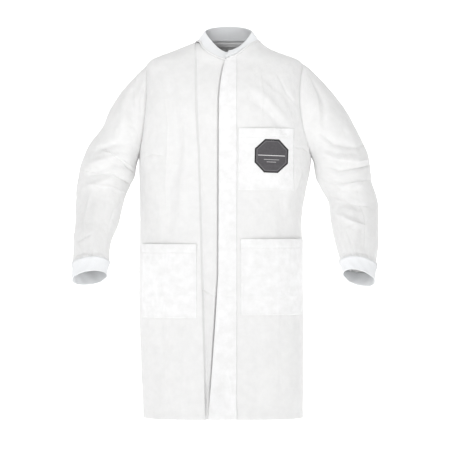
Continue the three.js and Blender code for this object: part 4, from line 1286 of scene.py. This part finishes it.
def pocket_skin(shape, name, u, v, lift=0.0):
    """A point of a pocket, and the coat's normal there, at share u across and v down."""
    left, right, top, bottom, bulge = POCKETS[name]
    drop = top + v * (bottom - top)
    start, stop = shape.angle_at(left, drop), shape.angle_at(right, drop)
    angle = start + u * (stop - start)
    p = shape.surface(angle, drop)
    wrinkle = 0.0016 * crumple(p, 0.045, 41 + len(name), 4) * np.sin(math.pi * np.clip(u, 0, 1)) ** 0.5
    tuck = -0.0005 * np.exp(-((np.minimum(u, 1 - u) * (right - left) / 0.002) ** 2))
    height = pocket_lift(bulge, u, v) + wrinkle + tuck + lift
    return shape.skin(angle, drop, height), shape.outward(angle, drop)


class COAT_OT_pockets(bpy.types.Operator):
    """Chest pocket and two hip pockets, each with a hem folded inside its mouth, and their stitching"""

    bl_idname = "coat.pockets"
    bl_label = "Pockets"

    def execute(self, context):
        shape = CoatShape()
        for name, (left, right, top, bottom, _) in POCKETS.items():
            deep, wide = bottom - top, right - left
            hem = shape.t.mouth_hem / deep
            u = np.linspace(0, 1, 76)[None, :]
            lip, radius = 0.006, 0.0008
            inner, outer = np.linspace(hem, lip, 9), np.linspace(lip, 1, 90)
            turn = np.linspace(0.3, math.pi - 0.3, 5)
            v = np.concatenate((inner, lip - lip * np.sin(turn), outer))[:, None]
            folded = np.concatenate((np.full(len(inner), 2.0), 1 + np.cos(turn), np.zeros(len(outer))))
            lift = -radius * folded[:, None]
            face = lift > -0.0001
            ridge = 0.0007 * np.exp(-(((v - hem) * deep / 0.0014) ** 2)) * face
            ridge = ridge - 0.0007 * (1 - ease((v - hem) * deep / 0.003 + 1)) * face
            points, _ = pocket_skin(shape, name, u + 0 * v, v + 0 * u, lift - ridge)
            piece = sheet_object(name + "_cloth", points, finish_of("nonwoven_double"), shape.b.cloth)
            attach(piece, "coat_body")
            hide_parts(name)
            inset, count = 0.0045, 60
            edge = inset / wide
            down = np.linspace(0.01, 1 - 0.005 / deep, count)
            level = np.linspace(edge, 1 - edge, count)
            lines = [
                pocket_skin(shape, name, np.full(count, edge), down, STITCH_LIFT),
                pocket_skin(shape, name, np.full(count, 1 - edge), down, STITCH_LIFT),
                pocket_skin(shape, name, level, np.full(count, 1 - inset / deep), STITCH_LIFT),
                pocket_skin(shape, name, level, np.full(count, hem), 0.0002),
            ]
            sewn = stitches(name + "_stitches", lines, finish_of("sewing_thread"))
            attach(sewn, "coat_body")
        return {"FINISHED"}


class COAT_OT_patch(bpy.types.Operator):
    """Eight-sided printed patch on the chest pocket"""

    bl_idname = "coat.patch"
    bl_label = "Patch"

    def execute(self, context):
        shape = CoatShape()
        t = shape.t
        left, right, top, bottom, _ = POCKETS["chest_pocket"]
        side = math.tan(math.pi / 8)
        low, high = np.linspace(-1, -side, 16, endpoint=False), np.linspace(side, 1, 17)[1:]
        v = np.concatenate((low, np.linspace(-side, side, 20), high))[:, None]
        u = np.linspace(-1, 1, 50)[None, :]
        half = np.minimum(1, 1 + side - np.abs(v))
        tilt = math.radians(2)
        px, py = u * half, -v + 0 * u
        across = t.badge_across + (px * math.cos(tilt) + py * math.sin(tilt)) * t.badge_width / 2
        drop = t.badge_drop - (py * math.cos(tilt) - px * math.sin(tilt)) * t.badge_width / 2
        start, stop = shape.angle_at(left, drop), shape.angle_at(right, drop)
        share = (shape.angle_at(across, drop) - start) / (stop - start)
        bevel = 0.0004 * (1 - ease((1 - np.maximum(np.abs(u), np.abs(v))) / 0.03))
        points, _ = pocket_skin(shape, "chest_pocket", share, (drop - top) / (bottom - top), 0.0011 - bevel)
        piece = sheet_object("patch_print", points, finish_of("printed_patch"), 0.0006)
        corners = grid_corners(points.shape[0] - 1, points.shape[1] - 1)
        pairs = np.stack([np.stack((px[r, c], py[r, c]), axis=-1) for r, c in corners], axis=2)
        layer = piece.data.uv_layers.new(name="print")
        layer.data.foreach_set("uv", pairs.astype(np.float32).ravel())
        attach(piece, "coat_body")
        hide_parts("badge_patch")
        return {"FINISHED"}


# ---- Sleeves and cuffs ---------------------------------------------------------------------------------


class COAT_OT_sleeves(bpy.types.Operator):
    """Both sleeves in two lengths each, meeting at the elbow"""

    bl_idname = "coat.sleeves"
    bl_label = "Sleeves"

    def execute(self, context):
        shape = CoatShape()
        turn = np.linspace(0, FULL_TURN, 168, endpoint=False)[None, :]
        for hand, side in ((1, "left"), (-1, "right")):
            arm = shape.sleeve(hand)
            front = f"{side}_front_cloth"
            for part, station, flat, rests in (
                ("upper", ELBOW * np.linspace(0, 1, 150) ** 1.25, (0.5, 0.36), front),
                ("lower", np.linspace(ELBOW, CUFF, 110), (0.44, 0.27), f"{side}_sleeve_upper_cloth"),
            ):
                station = station[:, None]
                points = shape.sleeve_point(arm, turn + 0 * station, station + 0 * turn)
                name, cloth = f"{side}_sleeve_{part}_cloth", finish_of("nonwoven_cloth")
                piece = sheet_object(name, points, cloth, shape.b.cloth, ring=True, flip=hand < 0)
                if part == "upper":
                    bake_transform(piece)
                else:
                    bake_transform(piece)
                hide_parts(f"{side}_sleeve_{part}")
        return {"FINISHED"}


class COAT_OT_cuffs(bpy.types.Operator):
    """Folded rib-knit cuffs"""

    bl_idname = "coat.cuffs"
    bl_label = "Cuffs"

    def execute(self, context):
        shape = CoatShape()
        s, t = shape.s, shape.t
        for hand, side in ((1, "left"), (-1, "right")):
            arm = shape.sleeve(hand)
            turn = np.linspace(0, FULL_TURN, 900, endpoint=False)[None, :]
            long = s.cuff_length / 0.07  # stations are about 0.07 m apart at the wrist
            half = t.band_thickness / 2
            ribs = np.cos(turn * 110)
            rows = [(h, half, 1.0) for h in np.linspace(-0.04, 0.96, 13)]
            rim = np.linspace(0.35, math.pi - 0.35, 5)
            rows += [(0.965 + 0.035 * math.sin(a), half * math.cos(a), math.cos(a)) for a in rim]
            rows += [(h, -half, -1.0) for h in np.linspace(0.96, 0.0, 10)]
            grid = []
            for height, offset, face in rows:
                station = np.full(turn.shape, CUFF + long * height)
                down = max(height, 0)
                swell = 0.0014 * math.sin(math.pi * min(down, 1)) - 0.001 * math.exp(-((down / 0.08) ** 2))
                lift = -s.cuff_taper + offset + swell + t.rib_height * ribs * face
                lift = lift + 0.0006 * np.sin(5 * turn + 2) + 0.0005 * np.sin(9 * turn + 6 * height)
                grid.append(shape.sleeve_point(arm, turn, station, lift, folds=False)[0])
            name, knit = f"{side}_cuff_knit", finish_of("rib_knit")
            piece = sheet_object(name, np.stack(grid), knit, KNIT_WALL, ring=True, flip=hand < 0)
            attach(piece, f"{side}_forearm")
            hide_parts(f"{side}_cuff")
        return {"FINISHED"}


class COAT_OT_stitching(bpy.types.Operator):
    """Sewn lines of the placket, armholes and hem"""

    bl_idname = "coat.stitching"
    bl_label = "Stitching"

    def execute(self, context):
        shape = CoatShape()
        f, b = shape.f, shape.b
        thread = finish_of("sewing_thread")
        drop = np.linspace(b.front_neck_drop + 0.006, b.coat_length - 0.004, 300)
        placket = coat_line(shape, shape.angle_at(f.placket_seam + 0.0015, drop), drop)
        hem_drop = b.coat_length - shape.t.coat_hem + 0.002
        left_start = float(shape.angle_at(f.placket_seam + 0.004, hem_drop))
        right_stop = float(shape.angle_at(shape.right_edge(hem_drop) - 0.004, hem_drop))
        side, gap = math.pi / 2, 0.01
        left = np.linspace(left_start, side - gap, 120)
        right = np.linspace(gap - side, right_stop, 120)
        behind = np.linspace(side + gap, 3 * side - gap, 240)
        hems = [coat_line(shape, a, np.full(a.shape, hem_drop)) for a in (left, right, behind)]
        sewn = stitches("body_stitches", [placket, *hems], thread)
        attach(sewn, "coat_body")
        lines = []
        for hand in (1, -1):
            for front in (True, False):
                share = (1 - np.cos(np.linspace(0.25, math.pi - 0.2, 160))) / 2
                drops = b.shoulder_drop + (b.armpit_drop - b.shoulder_drop) * share
                turned = hand * math.pi / 4 if front else math.pi - hand * math.pi / 4
                away = side - shape.armhole_turn(share, shape.bite(turned)) - 0.035
                angles = hand * away if front else math.pi - hand * away
                lines.append(coat_line(shape, angles, drops))
        sewn = stitches("armhole_stitches", lines, thread)
        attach(sewn, "coat_body")
        return {"FINISHED"}


# ---- Stage ---------------------------------------------------------------------------------------------


def area_light(name, place, target, size, power):
    """A soft white rectangular light aimed at a point."""
    data = bpy.data.lights.new(name, "AREA")
    data.shape = "RECTANGLE"
    data.size, data.size_y = size
    data.energy = power
    lamp = bpy.data.objects.new(name, data)
    bpy.context.scene.collection.objects.link(lamp)
    lamp.location = place
    aim = np.array(target) - np.array(place)
    lamp.rotation_euler = Vector(aim).to_track_quat("-Z", "Y").to_euler()


class COAT_OT_stage(bpy.types.Operator):
    """Pale floor that curves up into a backdrop, soft lights, and the camera"""

    bl_idname = "coat.stage"
    bl_label = "Stage"

    def execute(self, context):
        scene = context.scene
        floor_height, back, bend = -1.45, 10.0, 0.9
        turn = np.linspace(0, math.pi / 2, 16)
        y = np.concatenate(([-20.0], back - bend + bend * np.sin(turn), [back]))
        z = np.concatenate(([floor_height], floor_height + bend * (1 - np.cos(turn)), [14.5]))
        x = np.linspace(-25.0, 25.0, 12)
        points = np.stack(np.broadcast_arrays(x[None, :], y[:, None], z[:, None]), axis=-1)
        n, shader = start_material("pale_floor")
        noise = n.add("ShaderNodeTexNoise", i0=n.object_place(), Scale=3.0, Detail=2.0)
        tint = n.mix(noise.outputs[0], tuple(scene.coat_colours.floor), (0.94, 0.94, 0.94, 1))
        n.feed(shader.inputs["Base Color"], tint)
        shader.inputs["Roughness"].default_value = 0.9
        shader.inputs["Emission Color"].default_value = (1, 1, 1, 1)
        shader.inputs["Emission Strength"].default_value = 0.75
        cols = len(x)
        faces = np.stack([i * cols + j for i, j in grid_corners(len(y) - 1, cols - 1)[::-1]], axis=-1)
        floor = new_object("floor", points.reshape(-1, 3), faces.reshape(-1, 4), finish_of("pale_floor"))

        world = bpy.data.worlds.new("soft_room")
        scene.world = world
        world.use_nodes = True
        world.node_tree.nodes["Background"].inputs[0].default_value = (1, 1, 1, 1)
        world.node_tree.nodes["Background"].inputs[1].default_value = 0.36
        area_light("key_light", (-1.7, -2.9, 0.9), (0, 0, -0.5), (0.7, 0.8), 24)
        area_light("fill_light", (2.2, -2.6, 0.1), (0, 0, -0.5), (1.6, 2.0), 9)
        area_light("top_light", (0.05, -1.2, 1.7), (0, 0, -0.1), (0.5, 0.4), 14)

        camera = bpy.data.cameras.new("camera")
        camera.sensor_width = 36
        camera.lens = 232.7
        camera.clip_end = 50
        eye = bpy.data.objects.new("camera", camera)
        scene.collection.objects.link(eye)
        eye.location = (-0.0124, -8.132, -0.514)
        eye.rotation_euler = (math.pi / 2, 0, 0)
        scene.camera = eye
        scene.view_settings.view_transform = "Standard"
        return {"FINISHED"}


class COAT_PT_panel(bpy.types.Panel):
    """Sizes, colours and building steps of the coat"""

    bl_idname = "COAT_PT_panel"
    bl_label = "Lab coat"
    bl_space_type = "VIEW_3D"
    bl_region_type = "UI"
    bl_category = "Lab coat"

    def draw(self, context):
        for group in PROPERTY_GROUPS:
            box = self.layout.box()
            box.label(text=group.replace("coat_", "").capitalize())
            settings = getattr(context.scene, group)
            for key in settings.__annotations__:
                box.prop(settings, key)
        for operator in OPERATORS:
            self.layout.operator(operator.bl_idname)


PROPERTY_GROUPS = {
    "coat_body": CoatBodySizes,
    "coat_front": CoatFrontSizes,
    "coat_trim": CoatTrimSizes,
    "coat_sleeve": CoatSleeveSizes,
    "coat_colours": CoatColours,
}
OPERATORS = (
    COAT_OT_back_panel,
    COAT_OT_front_panels,
    COAT_OT_front_strips,
    COAT_OT_snaps,
    COAT_OT_collar,
    COAT_OT_pockets,
    COAT_OT_patch,
    COAT_OT_sleeves,
    COAT_OT_cuffs,
    COAT_OT_stitching,
    COAT_OT_stage,
)


def register():
    for name, group in PROPERTY_GROUPS.items():
        bpy.utils.register_class(group)
        setattr(bpy.types.Scene, name, bpy.props.PointerProperty(type=group))
    for each in (*OPERATORS, COAT_PT_panel):
        bpy.utils.register_class(each)


def unregister():
    for each in (COAT_PT_panel, *reversed(OPERATORS)):
        bpy.utils.unregister_class(each)
    for name, group in PROPERTY_GROUPS.items():
        delattr(bpy.types.Scene, name)
        bpy.utils.unregister_class(group)


def main():
    register()
    for operator in OPERATORS:
        area, name = operator.bl_idname.split(".")
        getattr(getattr(bpy.ops, area), name)()


if __name__ == "__main__":
    main()
